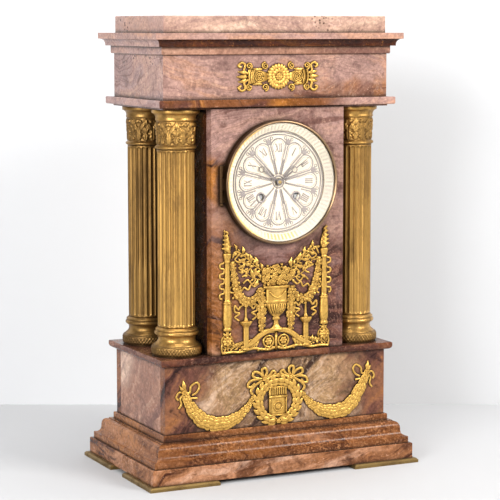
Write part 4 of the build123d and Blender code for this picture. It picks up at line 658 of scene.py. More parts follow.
def fade(*limits, ragged=0.05):
    """A mask that rises from low to high along each given axis, with an uneven edge."""

    def mask(nodes, axes, uneven):
        product = 1.0
        for axis, low, high in limits:
            shifted = nodes.maths("ADD", axes[axis], nodes.maths("MULTIPLY", uneven, ragged))
            product = nodes.maths("MULTIPLY", nodes.step(shifted, low, high), product)
        return product

    return mask


def pocked(*limits):
    """A mask of small pits that crowd together inside the given limits."""
    within = fade(*limits, ragged=0.02)

    def mask(nodes, axes, uneven):
        cells = nodes.add("ShaderNodeTexVoronoi", {"Vector": nodes.object_place(), "Scale": 240.0})
        dots = nodes.step(cells.outputs["Distance"], 0.36, 0.20)
        crowded = nodes.maths("MULTIPLY", dots, nodes.step(uneven, -0.02, 0.08))
        return nodes.maths("MULTIPLY", crowded, within(nodes, axes, uneven))

    return mask


def speckled(nodes, axes, uneven):
    """A mask of fine specks, closer together in some places than in others."""
    specks = nodes.step(nodes.noise(nodes.object_place(), 420.0, 3.0, 0.6), 0.50, 0.60)
    return nodes.maths("MULTIPLY", specks, nodes.step(uneven, -0.16, 0.10, 0.1, 0.75))


def stone(name, first, *laid):
    """Polished onyx: a first kind with others laid over it where their masks say, and dirt with
    painted shade darkening its corners and the stone round the mounts."""
    material, nodes, shader, place = new_material(name)
    axes = nodes.axes(place)
    uneven = nodes.maths("SUBTRACT", nodes.noise(place, 24.0, 5.0), 0.5)
    onyx = veins(nodes, place, *first)
    tone = onyx["Color"]
    for mask, kind in laid:
        tone = nodes.blend(mask(nodes, axes, uneven), tone, veins(nodes, place, *kind)["Color"])
    # Painted shade and dirt: the stone darkens where ambient occlusion finds corners and mounts close by.
    dirt_and_shade = nodes.step(nodes.openness(DIRT_AND_SHADE_REACH), 0.40, 0.92, 0.95, 0.0)
    finish(
        nodes, shader,
        Base_Color=nodes.blend(dirt_and_shade, tone, *tones_of("stone", "dirt_and_shade")),
        Roughness=onyx["Roughness"],
        Normal=nodes.bump(onyx["Height"], 0.3, 0.0006),
        Specular_IOR_Level=0.15,
    )
    return material


def metal(name, bright, dark, share, fineness, rough, metallic, bump=0.1, hollow=0.0, stretch=1.0):
    """Metal with a patina: bright where it is rubbed, dark and duller where the patina lies, and darkened
    in its hollows by patina and painted shade. rough holds the roughness of both."""
    material, nodes, shader, place = new_material(name)
    inputs = {
        "Vector": nodes.turned(place, scale=(1.0, 1.0, stretch)),
        "Bright": bright, "Dark": dark, "Share": share, "Fineness": fineness,
    }
    patina = nodes.add("ShaderNodeGroup", inputs, node_tree=patina_group()).outputs
    tone = patina["Color"]
    # Patina and painted shade: hollows are blended toward the dark colour where ambient occlusion finds them.
    if hollow:
        tone = nodes.blend(nodes.step(nodes.openness(HOLLOW_SHADE_REACH), 0.42, 0.90, hollow, 0.0), tone, dark)
    finish(
        nodes, shader,
        Base_Color=tone,
        Roughness=nodes.step(patina["Mask"], 0.0, share, *rough),
        Normal=nodes.bump(patina["Height"], bump, 0.0003),
        Metallic=metallic,
    )
    return material


def tinted(material, axis, low, high, share, tone):
    """Blends a share of a tone into a material where a coordinate goes from low to high, in metres."""
    nodes = Nodes(material.node_tree)
    base = node_of(material.node_tree, "BSDF_PRINCIPLED").inputs["Base Color"]
    mask = nodes.step(nodes.axes(nodes.object_place())[axis], low, high, 0.0, share)
    nodes.give(base, nodes.blend(mask, base.links[0].from_socket, tone))
    return material


def dress(material, *nodes):
    """Puts a material on CAD nodes in place of their own."""
    for node in nodes:
        data = frame["nodes"][node].data
        data.materials.clear()
        data.materials.append(material)


@cache
def gilt_material():
    """Matt gilding, darkened low down in the casting by patina and painted shade."""
    tones = tones_of("metal", "gilt", "gilt_shade")
    return metal("matt_gilding", *tones, 0.38, 220.0, (0.38, 0.60), 0.88, bump=0.45, hollow=0.94)


def worn_bronze_with_shade(name, dullness):
    """Worn bronze, streaked down its length, with patina and painted shade in the hollows and painted shade
    darkening the rear columns.
    """
    bronze, shade = tones_of("metal", "bronze", "bronze_shade")
    rough = (dullness, 0.55)
    material = metal(name, bronze, shade, 0.60, 60.0, rough, 0.9, bump=0.3, hollow=0.9, stretch=0.22)
    # Painted shade: the rear columns, behind y = 0, are blended toward the dark bronze.
    return tinted(material, 1, -0.01, 0.01, 0.5, shade)


@cache
def bronze_material():
    """The bronze of the shafts and capitals."""
    return worn_bronze_with_shade("column_bronze", 0.36)


def turned_skins(heights, radii):
    """The same turned form on each column axis: radii is an array over heights and angles."""
    theta = np.linspace(0, 2 * pi, radii.shape[1], endpoint=False)
    z = np.broadcast_to(heights[:, None], radii.shape)
    across, back = radii * np.cos(theta), radii * np.sin(theta)
    return [closed_skin(np.stack([x + across, y + back, z], -1)) for x, y in COLUMN_AXES]


def stamp(u, v, start, heading, size, width, rise):
    """Height of one carved leaf on a flattened wall: a lobed leaf from start along a heading, sunk at its
    vein."""
    du, dv = u - start[0], v - start[1]
    along = (du * cos(heading) + dv * sin(heading)) / size
    across = np.abs(-du * sin(heading) + dv * cos(heading))
    t = np.clip(along, 0, 1)
    half = width / 2 * np.sin(pi * t**0.75) ** 0.8 * (1 + 0.22 * np.cos(8 * pi * t)) + 1e-6
    inside = (along > 0) & (along < 1) & (across < half)
    share = np.clip(across / half, 0, 1)
    form = np.sqrt(np.clip(1 - share**2, 0, 1)) * (0.45 + 0.55 * np.sin(pi * t**0.6))
    return np.where(inside, rise * (form - 0.35 * np.exp(-((share / 0.18) ** 2))), 0.0)


class PORTICO_OT_column_shafts(bpy.types.Operator):
    """Cuts round-ended flutes into the four column shafts"""

    bl_idname = "portico.column_shafts"
    bl_label = "Column shafts"

    def execute(self, context):
        """Radius less depth times sqrt(1 - (d/w)^2 - (e/w)^2), d across a flute and e into its round end.
        The lowest flutes are part filled."""
        flutes = settings("relief").flutes
        low, high = SHAFT_LOW[2], SHAFT_HIGH[2]
        pitch = 2 * pi / flutes
        flute = (2 * pi * COLUMN_RADIUS / flutes - size_of("flute_fillet")) / 2
        margin = 2.0
        ends = np.linspace(0, flute, 8)
        heights = np.concatenate([
            [low, low + margin], low + margin + ends[1:], np.linspace(low, high, 22)[3:-3],
            high - margin - ends[:0:-1], [high - margin, high],
        ])
        theta = np.linspace(0, 2 * pi, flutes * 14, endpoint=False)
        d = np.abs((theta + pitch / 2) % pitch - pitch / 2) * COLUMN_RADIUS
        rim = np.minimum(heights - low - margin, high - margin - heights)[:, None]
        e = np.clip(flute - rim, 0, flute)
        hollow = np.sqrt(np.clip(1 - (d / flute) ** 2 - (e / flute) ** 2, 0, 1)) * (rim > 0)
        filled = 0.45 * (heights[:, None] < low + 0.3 * (high - low))
        radii = COLUMN_RADIUS - size_of("flute_depth") * hollow * (1 - filled)
        piece = put_mesh("fluted_shafts", turned_skins(heights, radii), bronze_material())
        place(piece, "case", "antique_bronze", "column_shafts")
        return {"FINISHED"}


class PORTICO_OT_column_capitals(bpy.types.Operator):
    """Carves leaves into the band of the four capitals"""

    bl_idname = "portico.column_capitals"
    bl_label = "Column capitals"

    def execute(self, context):
        """A turned profile with the highest of many leaf stamps and curls added between the two rings."""
        low, high = (corner[2] for corner in node_box("column_capitals"))
        depth = size_of("carving_depth")
        profile = np.reshape((
            0, 19.6, 0.3, 20.6, 1, 21.4, 1.8, 21.6, 2.6, 21.4, 3.3, 20.6, 3.6, 20, 5, 19.6, 7, 19.5, 16, 20,
            27, 20.6, 29, 20.4, 29.6, 21, 30.6, 21.1, 31.4, 20.6, 33.4, 20.9, 35, 21.7, 36.2, 23, 36.8, 24.4,
            37, 24.8, 37.4, 25, 40.6, 25, 41, 24.7,
        ), (-1, 2))
        rise = np.unique(np.concatenate([np.linspace(4.0, 29.0, 46), profile[:, 0]]))
        radius = np.interp(rise, profile[:, 0], profile[:, 1])
        band_radius = 20.5
        repeats = 8
        turn = 2 * pi * band_radius
        u, v = np.meshgrid(np.linspace(0, 2 * pi, 288, endpoint=False) * band_radius, rise)
        carve = np.zeros_like(u)

        def from_line(x):
            return (u - x + turn / 2) % turn - turn / 2

        for base in np.arange(repeats) * turn / repeats:
            for across, up, heading, size, width in (
                (0.0, 4.5, pi / 2, 15.0, 8.5), (8.0, 4.5, pi / 2, 10.0, 6.0), (1.0, 15.5, 0.95, 13.0, 5.5),
                (-1.0, 15.5, pi - 0.95, 13.0, 5.5), (8.0, 13.0, 1.9, 9.0, 5.0), (8.0, 13.0, 1.25, 9.0, 5.0),
                (8.0, 21.0, pi / 2, 7.5, 5.0), (4.2, 9.0, 0.5, 6.0, 3.6), (-4.2, 9.0, pi - 0.5, 6.0, 3.6),
                (4.0, 24.0, 2.6, 6.0, 3.4), (-4.0, 24.0, 0.5, 6.0, 3.4),
            ):
                cut = stamp(from_line(base + across), v, (0.0, up), heading, size, width, depth)
                carve = np.maximum(carve, cut)
            for across, up in ((4.0, 19.5), (-4.0, 19.5), (8.0, 11.2)):
                near = np.hypot(from_line(base + across), v - up)
                curl = np.clip(1 - (near / 2.3) ** 2, 0, 1) ** 0.5 * (0.8 + 0.3 * np.cos(near * 4.2))
                carve = np.maximum(carve, depth * curl)
        sunk = 1.0 * ((rise > 4.2) & (rise < 28.8))
        heights = low + rise * (high - low) / profile[-1, 0]
        skins = turned_skins(heights, radius[:, None] + carve - sunk[:, None])
        piece = put_mesh("carved_capitals", skins, bronze_material())
        place(piece, "case", "antique_bronze", "column_capitals")
        return {"FINISHED"}


class PORTICO_OT_column_bases(bpy.types.Operator):
    """Turns the four column bases and weaves their lower rings"""

    bl_idname = "portico.column_bases"
    bl_label = "Column bases"

    def execute(self, context):
        """A turned profile; a weave, sin(24 a + h) sin(24 a - h), raises the lower ring."""
        low, high = (corner[2] for corner in node_box("column_bases"))
        ring_middle, largest_radius, strands = 5.6, 26.6, 24
        t = np.linspace(-1, 1, 17)
        bulge = 2.1 * np.sqrt(1 - (0.96 * t) ** 2)
        lower = np.stack([ring_middle + 5.0 * t, 24.4 + bulge], -1)
        upper = np.stack([23.6 + 2.2 * t, 21.0 + bulge], -1)
        t = np.linspace(0, 1, 12)
        hollow = np.stack([11.8 + 8.4 * t, 19.2 + 4.2 * (1 - t) ** 3 + 0.9 * t**6], -1)
        profile = np.concatenate([
            [(0.0, 24.6), (0.4, 25.2)], lower, [(10.8, 23.7), (11.2, 23.6)], hollow,
            [(20.6, 20.3), (21.2, 20.6)], upper,
            [(26.2, 21.2), (26.6, 21.9), (27.6, 22.0), (28.2, 21.4), (28.5, 20.6), (29.6, 20.0)],
        ])
        rise, radius = profile.T[..., None]
        theta = strands * np.linspace(0, 2 * pi, 264, endpoint=False)[None]
        band = np.clip(1 - np.abs(rise - ring_middle) / 4.6, 0, 1) ** 0.5
        slant = 0.7 * (rise - ring_middle)
        weave = np.sin(theta + slant) * np.sin(theta - slant)
        carve = (np.abs(weave) ** 0.5 - 0.7) * band * 0.8 * size_of("carving_depth")
        heights = low + profile[:, 0] * (high - low) / profile[-1, 0]
        skins = turned_skins(heights, np.minimum(radius + carve, largest_radius))
        foot = float(low) * MM
        shade = tones_of("metal", "bronze_shade")[0]
        bronze = tinted(worn_bronze_with_shade("base_bronze", 0.34), 2, foot + 0.0125, foot + 0.0105, 0.45, shade)
        place(put_mesh("wrapped_bases", skins, bronze), "case", "antique_bronze", "column_bases")
        return {"FINISHED"}


class PORTICO_OT_frieze_mount(bpy.types.Operator):
    """Casts the rosette between two shells on the frieze"""

    bl_idname = "portico.frieze_mount"
    bl_label = "Frieze mount"

    def execute(self, context):
        """Two rows of petals on a disc and a flower over them, between two mirrored shells."""
        face = FRIEZE_FACE
        turns = pi / 2 - np.linspace(0, 2 * pi, 49)
        skins = mirrored(self.shell)
        skins.append(sweep(face, circle(FRIEZE_MIDDLE, 7.6, turns), 5.2, 0.2))
        for count, inner, outer, lift in ((22, 6.6, 13.8, 0.9), (14, 3.0, 9.6, 1.6)):
            for turn in np.linspace(0, 2 * pi, count, endpoint=False):
                ends = (circle(FRIEZE_MIDDLE, reach, pi / 2 - turn) for reach in (inner, outer))
                skins.append(leaf(ahead(face, lift), *ends, 3.7, 0.0, 0, 0.6, rise=0.9))
        skins.append(flower(ahead(face, 2.4), FRIEZE_MIDDLE, 4.2, 8, 1.4, 0.4, 6))
        piece = put_mesh("frieze_rosette", skins, gilt_material())
        place(piece, "case", "gilt_bronze", "frieze_mount")
        return {"FINISHED"}

    def shell(self, side):
        """A slab that widens outwards, with lips, rings, scrolls, hooks and leaves."""
        at = partial(spots, side, FRIEZE_MIDDLE)
        face, front = FRIEZE_FACE, ahead(FRIEZE_FACE, 1.6)
        skins = [sweep(face, at(12.5, 0, 20, 0, 34.6, 0), (3.6, 6.2, 7.6), 0.3, 1.4)]
        for x, z in ((34.0, 7.4), (29.6, 6.8)):
            lip = smooth_path(at(x - 1.4, -z, x, 0, x - 1.4, z), 16)
            skins.append(sweep(front, lip, 0.8, 0.9, 0.4, 6))
        skins += [roundel(front, at(22.4, 0)[0], reach, 0.65, 0.5, 28) for reach in (5.2, 3.4, 1.6)]
        for up in (-1, 1):
            turn, bend = pi / 2 * up, -0.12 * up * side
            hook = at(34.5, up * 3, 39, up * 6, 38, up * 12, 42, up * 14.4, 45.4, up * 11.4, 42.6, up * 9.4)
            skins += [
                scroll(face, at(15, up * 11)[0], 3.8, turn),
                scroll(face, at(33.4, up * 11)[0], 3.6, -turn),
                ribbon(face, hook, 1.3, 1.1),
                leaf(face, *at(17, up * 8.6, 31, up * 9), 3.6, bend),
                leaf(face, *at(36, up * 1.4, 46.6, up * 5), 3.6, -bend, 2),
            ]
        tongue = at(34, 0, 48, 0)
        return skins + [leaf(face, *tongue, 4.4, edge=1.4, rise=1.2 * size_of("leaf_rise"))]


class PORTICO_OT_urn_mount(bpy.types.Operator):
    """Casts the urn, torches, swags and ribbons on the case front"""

    bl_idname = "portico.urn_mount"
    bl_label = "Urn mount"

    def execute(self, context):
        """Turned forms, blossoms, leaves and ribbons on the case's front, the two sides mirrored."""
        skins = self.urn()
        skins += mirrored(lambda side: self.torch(side) + self.foliage(side) + self.foot_work(side))
        place(put_mesh("urn_and_torches", skins, gilt_material()), "case", "gilt_bronze", "urn_mount")
        return {"FINISHED"}

    def torch(self, side):
        """A turned stem, a leaning flame of crossing licks, a rosette and a wavy ribbon at either hand."""
        at, face = partial(spots, side, URN_MIDDLE), CASE_FACE
        axis, hub = at(TORCH_OUT, 0, TORCH_OUT, 14.5)
        stem = (
            19, 1.8, 25, 1.8, 25.6, 4.7, 28, 4.7, 28.6, 3.6, 33, 4.6, 38, 4.9, 46, 4.7, 53, 4.1, 54, 4.7,
            55.2, 4.7, 55.6, 3.6, 56.4, 4.2, 57.2, 3, 76, 2.8, 96, 2.6, 97, 3.4, 98.2, 3.4, 99, 2.9,
            101, 3.7, 104.5, 4.5, 106, 4.5, 106.6, 3.6,
        )
        flame = smooth_path(at(TORCH_OUT, 105.5, 56.3, 113, 57, 121, 59.4, 131), 26)
        swell = np.interp(np.linspace(0, 1, 26), (0, 0.28, 0.52, 0.74, 1), (3.2, 5, 4, 2.8, 0.3))
        skins = [
            standing(face, axis, stem, 0.75, reeds=10),
            sweep(face, flame, 0.8 * swell, 0.4 * swell, 1.0, 9),
        ]
        for n in range(9):
            low, reach, hand = 105.5 + 2.5 * n, 6.2 - 0.5 * n, (-1) ** n
            lick = at(56.4 - 0.4 * reach * hand, low, 57 + reach * hand + 0.25 * n, low + 6.2 - 0.3 * n)
            skins.append(leaf(ahead(face, 1.6), *lick, 4 - 0.26 * n, 0.2 * side * hand, 0, 1.0, 8, 1.5))
        skins += [flower(face, hub, 5.6, 8, 2.0, 1.4, 5), roundel(face, hub, 2.4, 0.6, 3.4, 20)]
        for hand in (-1, 1):
            sepal = at(TORCH_OUT, 19.5, TORCH_OUT + 4.4 * hand, 24)
            skins.append(leaf(face, *sepal, 3.0, 0.1 * hand, 2))
        t = np.linspace(0, 1, 90)
        for hand, waves in ((1, 3.7), (-1, 3.2)):
            sway = 5.6 + 2.9 * np.sin(2 * pi * waves * t) * (1 - 0.15 * t)
            climb = 59 + 39 * t - 2.7 / waves * np.sin(4 * pi * waves * t)
            path = np.stack([axis[0] + side * hand * sway, axis[1] + climb], -1)
            skins.append(sweep(face, path, 1.05, 0.8, 1.0, 6, 0, 0.3))
        return skins

    def foliage(self, side):
        """The branch and ribbons above, the swag and the drop at the urn's side."""
        at, face = partial(spots, side, URN_MIDDLE), CASE_FACE
        branch = smooth_path(at(14, 85, 25, 92, 35, 101, 46, 109), 40)
        lower = smooth_path(at(16, 76, 26, 79, 35, 85, 43, 95), 30)
        skins = sprig(face, branch, 19, 10.5, 0.75) + sprig(face, lower, 11, 9.0, 0.9)
        for line in (
            (50.5, 101, 46.5, 108, 42.5, 105, 47.5, 99.5, 42, 96, 38.5, 99.5, 36.5, 94, 42.5, 90.5, 38, 87,
             33.5, 89.5, 34.5, 83.5, 39.5, 81),
            (18, 81, 23, 86, 27.5, 82, 24, 77, 28, 73, 33, 77.5, 38, 74),
            (20, 73, 25, 70, 29, 72, 32, 67, 37, 69.5, 40, 66),
            (29, 90, 34, 86, 39, 88.5, 36.5, 93.5, 41, 98),
            (22, 95, 27, 99, 30, 96, 34, 104, 39, 103),
        ):
            skins.append(ribbon(face, at(*line), 0.95, 0.8, 1.2))
        swag = smooth_path(at(50.8, 97.6, 48.5, 80, 44, 64, 34.8, 54, 23, 58, 17.6, 68), 60)
        drop = np.linspace(*at(17, 68, 17, 22.6), 50)
        return skins + festoon(face, swag, 8.4, 2.4, 17, 0.55) + festoon(face, drop, 8.6, 2.2, 11, 0.55)

    def foot_work(self, side):
        """The torch stand, the scrolled arm, the leaf spray, the base strip and the roundel."""
        at, face = partial(spots, side, URN_MIDDLE), CASE_FACE
        axis, rosette, hub = at(STAND_OUT, 0, TORCH_OUT, 14.5, 8.7, 11.2)
        stand = (
            4, 4.4, 5.4, 4.4, 6, 3.2, 28, 3, 29, 4, 31, 5.8, 33, 6.9, 34, 6.9, 34.6, 2.4, 38, 1.2, 55, 0.6,
        )
        tie = np.reshape((1, 52, 6, 50, 8.6, 47, 12.4, 51, 12.8, 45, 7.2, 42.6, 12.4, 39, 7.6, 35), (-1, 2))
        skins = [standing(face, axis, stand, 0.75, reeds=8)]
        for hand in (-1, 1):
            loops = at(*(tie * (hand, 1) + (STAND_OUT, 0)).ravel())
            skins.append(ribbon(face, loops, 1.05, count=60))
            bud = at(STAND_OUT, 52, STAND_OUT + 4.2 * hand, 56.4)
            skins.append(leaf(face, *bud, 2.4, 0.1, 0))
        arm = smooth_path(at(2, 21.5, 10, 22, 18, 18.5, 26, 12.5, 33, 8.5, 41, 6.4), 60)
        spread = np.interp(np.linspace(0, 1, 60), (0, 0.2, 0.6, 1), (1.6, 2.8, 3, 1.6))
        skins.append(sweep(face, arm, spread, 2.0, 1.3, 9, 0, 0.4))
        for n in range(8):
            plume = at(19 + 2.9 * n, 13.5 - 1.2 * n, 23 + 2.9 * n, 3.6 - 0.25 * n)
            tuft = at(27 + 3 * n, 11 - 0.7 * n, 32 + 3 * n, 14 - 0.5 * n)
            skins.append(leaf(face, *plume, 2.5, 0.14 * side, 0, 1.0, 8))
            skins.append(leaf(face, *tuft, 2.4, 0.2 * side, 0, 1.0, 8))
        strip = smooth_path(at(34, 3.4, 42, 1.8, 52, 2.6, 62.4, 1.8), 24)
        spray = smooth_path(at(40, 6, 47, 9.5, 53, 7, 61, 6), 24)
        skins += [
            ribbon(face, at(1.5, 4.4, 9, 2.2, 18, 3.6, 27, 4.8, 38, 2.2), 1.5, 1.0),
            sweep(face, strip, 1.7, 1.0, 1.0, 6),
            ribbon(face, at(62, 1.8, 62.9, 8, 61.6, 13, 62.4, 18), 0.9, count=24),
            roundel(face, rosette, 6.4, 0.7, count=30),
            *sprig(face, spray, 13, 6.0),
            roundel(face, hub, 5.9, 1.1),
            flower(face, hub, 4.2, 6, 1.5, 1.0, 5),
        ]
        for n in range(5):
            x = 2.4 + 4.2 * n
            skins.append(leaf(face, *at(x, 5.6 - 0.4 * n, x + 2.4, 0.8), 3.4, 0.1 * side, 1))
        return skins

    def urn(self):
        """The turned urn with its lobes and belt, a bar below it and a heap of flowers in it."""
        at, face = partial(spots, 1, URN_MIDDLE), CASE_FACE
        axis = at(0, 0)[0]
        outline = (
            22, 8.4, 24, 8.4, 24.6, 7.6, 26.2, 4.6, 28.4, 2.7, 33.2, 2.4, 34, 4.2, 36, 4.2, 36.6, 3, 38, 4.6,
            41, 7.4, 46, 10.4, 50, 11.6, 51.8, 12, 52, 12.8, 54, 12.8, 54.2, 12, 66, 12, 67, 13.6,
            68, 15.4, 69.6, 15.4,
        )
        skins = [standing(face, axis, outline, 0.3, 1.6, sides=25, count=90)]
        level = np.linspace(40.0, 51.4, 14)
        belly = np.interp(level, (38, 41, 46, 51.4), (4.6, 7.4, 10.4, 11.9))
        swell = np.sin(np.linspace(0.25, pi - 0.5, 14))
        for share in np.linspace(-0.84, 0.84, 8):
            lobe = np.stack([axis[0] + share * belly, axis[1] + level], -1)
            front = ahead(face, 1.2) - 3.4 * sqrt(1 - share**2)
            skins.append(sweep(front, lobe, 1.1 * swell, 1.3 * swell, 0.4, 6))
        belt = hanging(*at(-9, 64, 0, 57.5, 9, 64), 24)
        skins.append(sweep(face - 4.4, belt, 1.0, 0.9, 0.8, 6))
        skins.append(sweep(face, at(0, 1, 0, 10, 0, 21.5), 1.5, 1.4, 1.0, 6))
        heap = 58
        for n in range(heap):
            radius = ((n + 0.5) / heap) ** 0.5
            turn = GOLDEN_TURN * n
            x = axis[0] + 18.0 * radius * cos(turn)
            z = axis[1] + min(80.0 + 11.5 * radius * sin(turn), 89.5)
            edge = 2.8 - 1.6 * radius
            if n % 3:
                skins.append(flower(face, (x, z), 2.5 + 0.7 * (n % 2), 5, 1.5, edge))
            else:
                skins.append(leaf(face, (x, z), (x + 5 * cos(turn), z + 4 * sin(turn)), 3.2, 0.1, 2, edge))
        return skins


class PORTICO_OT_wreath_mount(bpy.types.Operator):
    """Casts the laurel wreath, its quiver and its ribbon bows on the pedestal"""

    bl_idname = "portico.wreath_mount"
    bl_label = "Wreath mount"

    def execute(self, context):
        """Three rows of leaves round an ellipse, a reeded quiver inside it and looped ribbons above."""
        face, at = PEDESTAL_FACE, partial(spots, 1, WREATH_MIDDLE)
        turns = np.linspace(-pi / 2, 3 * pi / 2, 72)
        oval = np.stack([WREATH_WIDE * np.cos(turns), WREATH_TALL * np.sin(turns)], -1)
        skins = [sweep(face, at(*oval.ravel()), 3.4, 0.8)] + mirrored(self.half_wreath)
        front = ahead(face, 1.4)
        slab = at(0, -15.8, 0, -15.4, 0, 15.2, 0, 15.6)
        skins += [
            flower(face, at(0, 27.5)[0], 2.6, 5, 1.2, 1.6, 4),
            flower(face, at(0, -21.6)[0], 2.6, 6, 1.3, 2.4, 4),
            sweep(face, slab, (10.0, 10.4, 10.4, 10.0), 0.05, 1.6, 4),
        ]
        for x in np.linspace(-8.9, 8.9, 8):
            skins.append(sweep(front, np.linspace(*at(x, 6.6, x, 14.6), 9), 1.0, 1.1, 0.3, 6))
        for z, half in ((4.6, 1.4), (15.0, 0.9), (-15.0, 1.1)):
            skins.append(sweep(ahead(face, 1.5), at(-10.7, z, 0, z, 10.7, z), half, 0.9, 0.5, 6))
        medal = at(0, -5.6)[0]
        skins += [roundel(front, medal, 5.0, 0.8, 0.3), flower(front, medal, 3.2, 8, 0.8, 0.3, 4)]
        for x in (-9.6, 9.6):
            skins.append(sweep(front, np.linspace(*at(x, -14.4, x, 3.4), 5), 0.8, 0.8, 0.3, 5))
        place(put_mesh("laurel_wreath", skins, gilt_material()), "case", "gilt_bronze", "wreath_mount")
        return {"FINISHED"}

    def half_wreath(self, side):
        """One side's leaves, its sprig below and its bow above."""
        face, at = PEDESTAL_FACE, partial(spots, side, WREATH_MIDDLE)
        rise = 0.8 * size_of("leaf_rise")
        skins = []
        for turn in np.linspace(-pi / 2 + 0.12, pi / 2 - 0.36, 10):
            base = np.array([WREATH_WIDE * cos(turn), WREATH_TALL * sin(turn)])
            forward = np.array([-sin(turn), cos(turn)])
            outward = np.array([cos(turn), sin(turn)])
            for lean, reach, lift in ((0.46, 10.0, 0.8), (-0.48, 9.0, 0.8), (0.0, 10.5, 1.5)):
                start = base + outward * lean * 1.6
                tip = start + (forward * cos(lean) + outward * sin(lean)) * reach
                ends = at(*start, *tip)
                skins.append(leaf(ahead(face, lift), *ends, 4.4, -0.16 * side * lean, 0, 0.8, 10, rise))
        for x, z in ((8.5, -23.4), (12.5, -24.6), (10.0, -20.6)):
            skins.append(leaf(ahead(face, 1.0), *at(2, -20.6, x, z), 3.4, 0.1 * side, 0, 0.8))
        for line in (
            (16, 24.5, 21, 31, 27.5, 33, 29, 28.5, 23, 25.5, 16, 24.5),
            (16, 25, 13, 31, 14.5, 36, 18.5, 35, 18, 29.5, 16.5, 25.5),
            (16.5, 24.5, 26, 25, 33, 23, 35, 18, 31, 17.5, 27, 21),
            (15, 25, 9, 29, 6, 32.5, 3, 30, 8, 26.5, 15, 24.5),
            (16.5, 24.5, 22, 21.5, 27.5, 18, 31.5, 13, 29.5, 9),
        ):
            skins.append(ribbon(ahead(face, 0.5), at(*line), 1.45, 0.9))
        return skins + [flower(face, at(16, 24.8)[0], 2.8, 5, 1.4, 2.4, 4)]


class PORTICO_OT_garland_mounts(bpy.types.Operator):
    """Casts the two garlands and their ribbon ends on the pedestal"""

    bl_idname = "portico.garland_mounts"
    bl_label = "Garland mounts"

    def execute(self, context):
        """A hanging crescent of leaf scales each side, with looped ribbons at its outer end."""
        piece = put_mesh("pedestal_garlands", mirrored(self.garland), gilt_material())
        place(piece, "case", "gilt_bronze", "garland_mounts")
        return {"FINISHED"}

    def garland(self, side):
        """One garland; the right one's end hangs higher."""
        face, lift = PEDESTAL_FACE, 4.0 if side > 0 else 0.0

        def at(*numbers):
            points = spots(side, GARLAND_MIDDLE, *numbers)
            points[:, 1] += lift * (np.abs(points[:, 0]) > 90.0)
            return points

        line = at(27.4, 34, 37, 20.5, 51, 10.6, 68, 7.2, 85, 11.6, 98, 24, 105.5, 38, 108.2, 47)
        skins = festoon(face, smooth_path(line, 96), 13.4, 2.6, 44, 0.27, True)
        skins.append(leaf(face, *at(107, 44, 109, 56.5), 4.4, 0.0, 2, 1.3))
        skins.append(leaf(face, *at(107.6, 44, 113, 51), 3.2, 0.05, 2))
        for curl in (
            (107.6, 43, 101.5, 42.5, 100, 49, 93.5, 52.5, 90.6, 47.5, 94, 42, 99, 39.5),
            (107, 42, 102, 37, 97.5, 36.5, 93, 36),
            (108, 43, 113.5, 43.5, 116.5, 39, 114.5, 35.5),
            (108, 42, 112, 37, 111, 31, 114, 26.5),
        ):
            skins.append(ribbon(face, at(*curl), 1.15, 0.9, 1.2))
        return skins + [flower(face, at(108, 43)[0], 2.7, 5, 1.4, 1.8, 4)]


def numeral_strokes(text):
    """The strokes of an upright Roman number, one unit high: two ends, set about its middle, and a
    thickness."""
    letters = {
        "I": (0.26, ((0.0, 0.0, 0.0, 1.0, 1.0),)),
        "V": (0.68, ((0.0, 1.0, 0.24, 0.0, 1.0), (0.24, 0.0, 0.48, 1.0, 0.55))),
        "X": (0.66, ((0.0, 1.0, 0.46, 0.0, 1.0), (0.0, 0.0, 0.46, 1.0, 0.55))),
    }
    strokes, start = [], 0.0
    for letter in text:
        advance, lines = letters[letter]
        strokes += [(start + a, b, start + c, d, weight) for a, b, c, d, weight in lines]
        start += advance
    middle = (min(min(s[0], s[2]) for s in strokes) + max(max(s[0], s[2]) for s in strokes)) / 2
    return [((a - middle, b), (c - middle, d), weight) for a, b, c, d, weight in strokes]


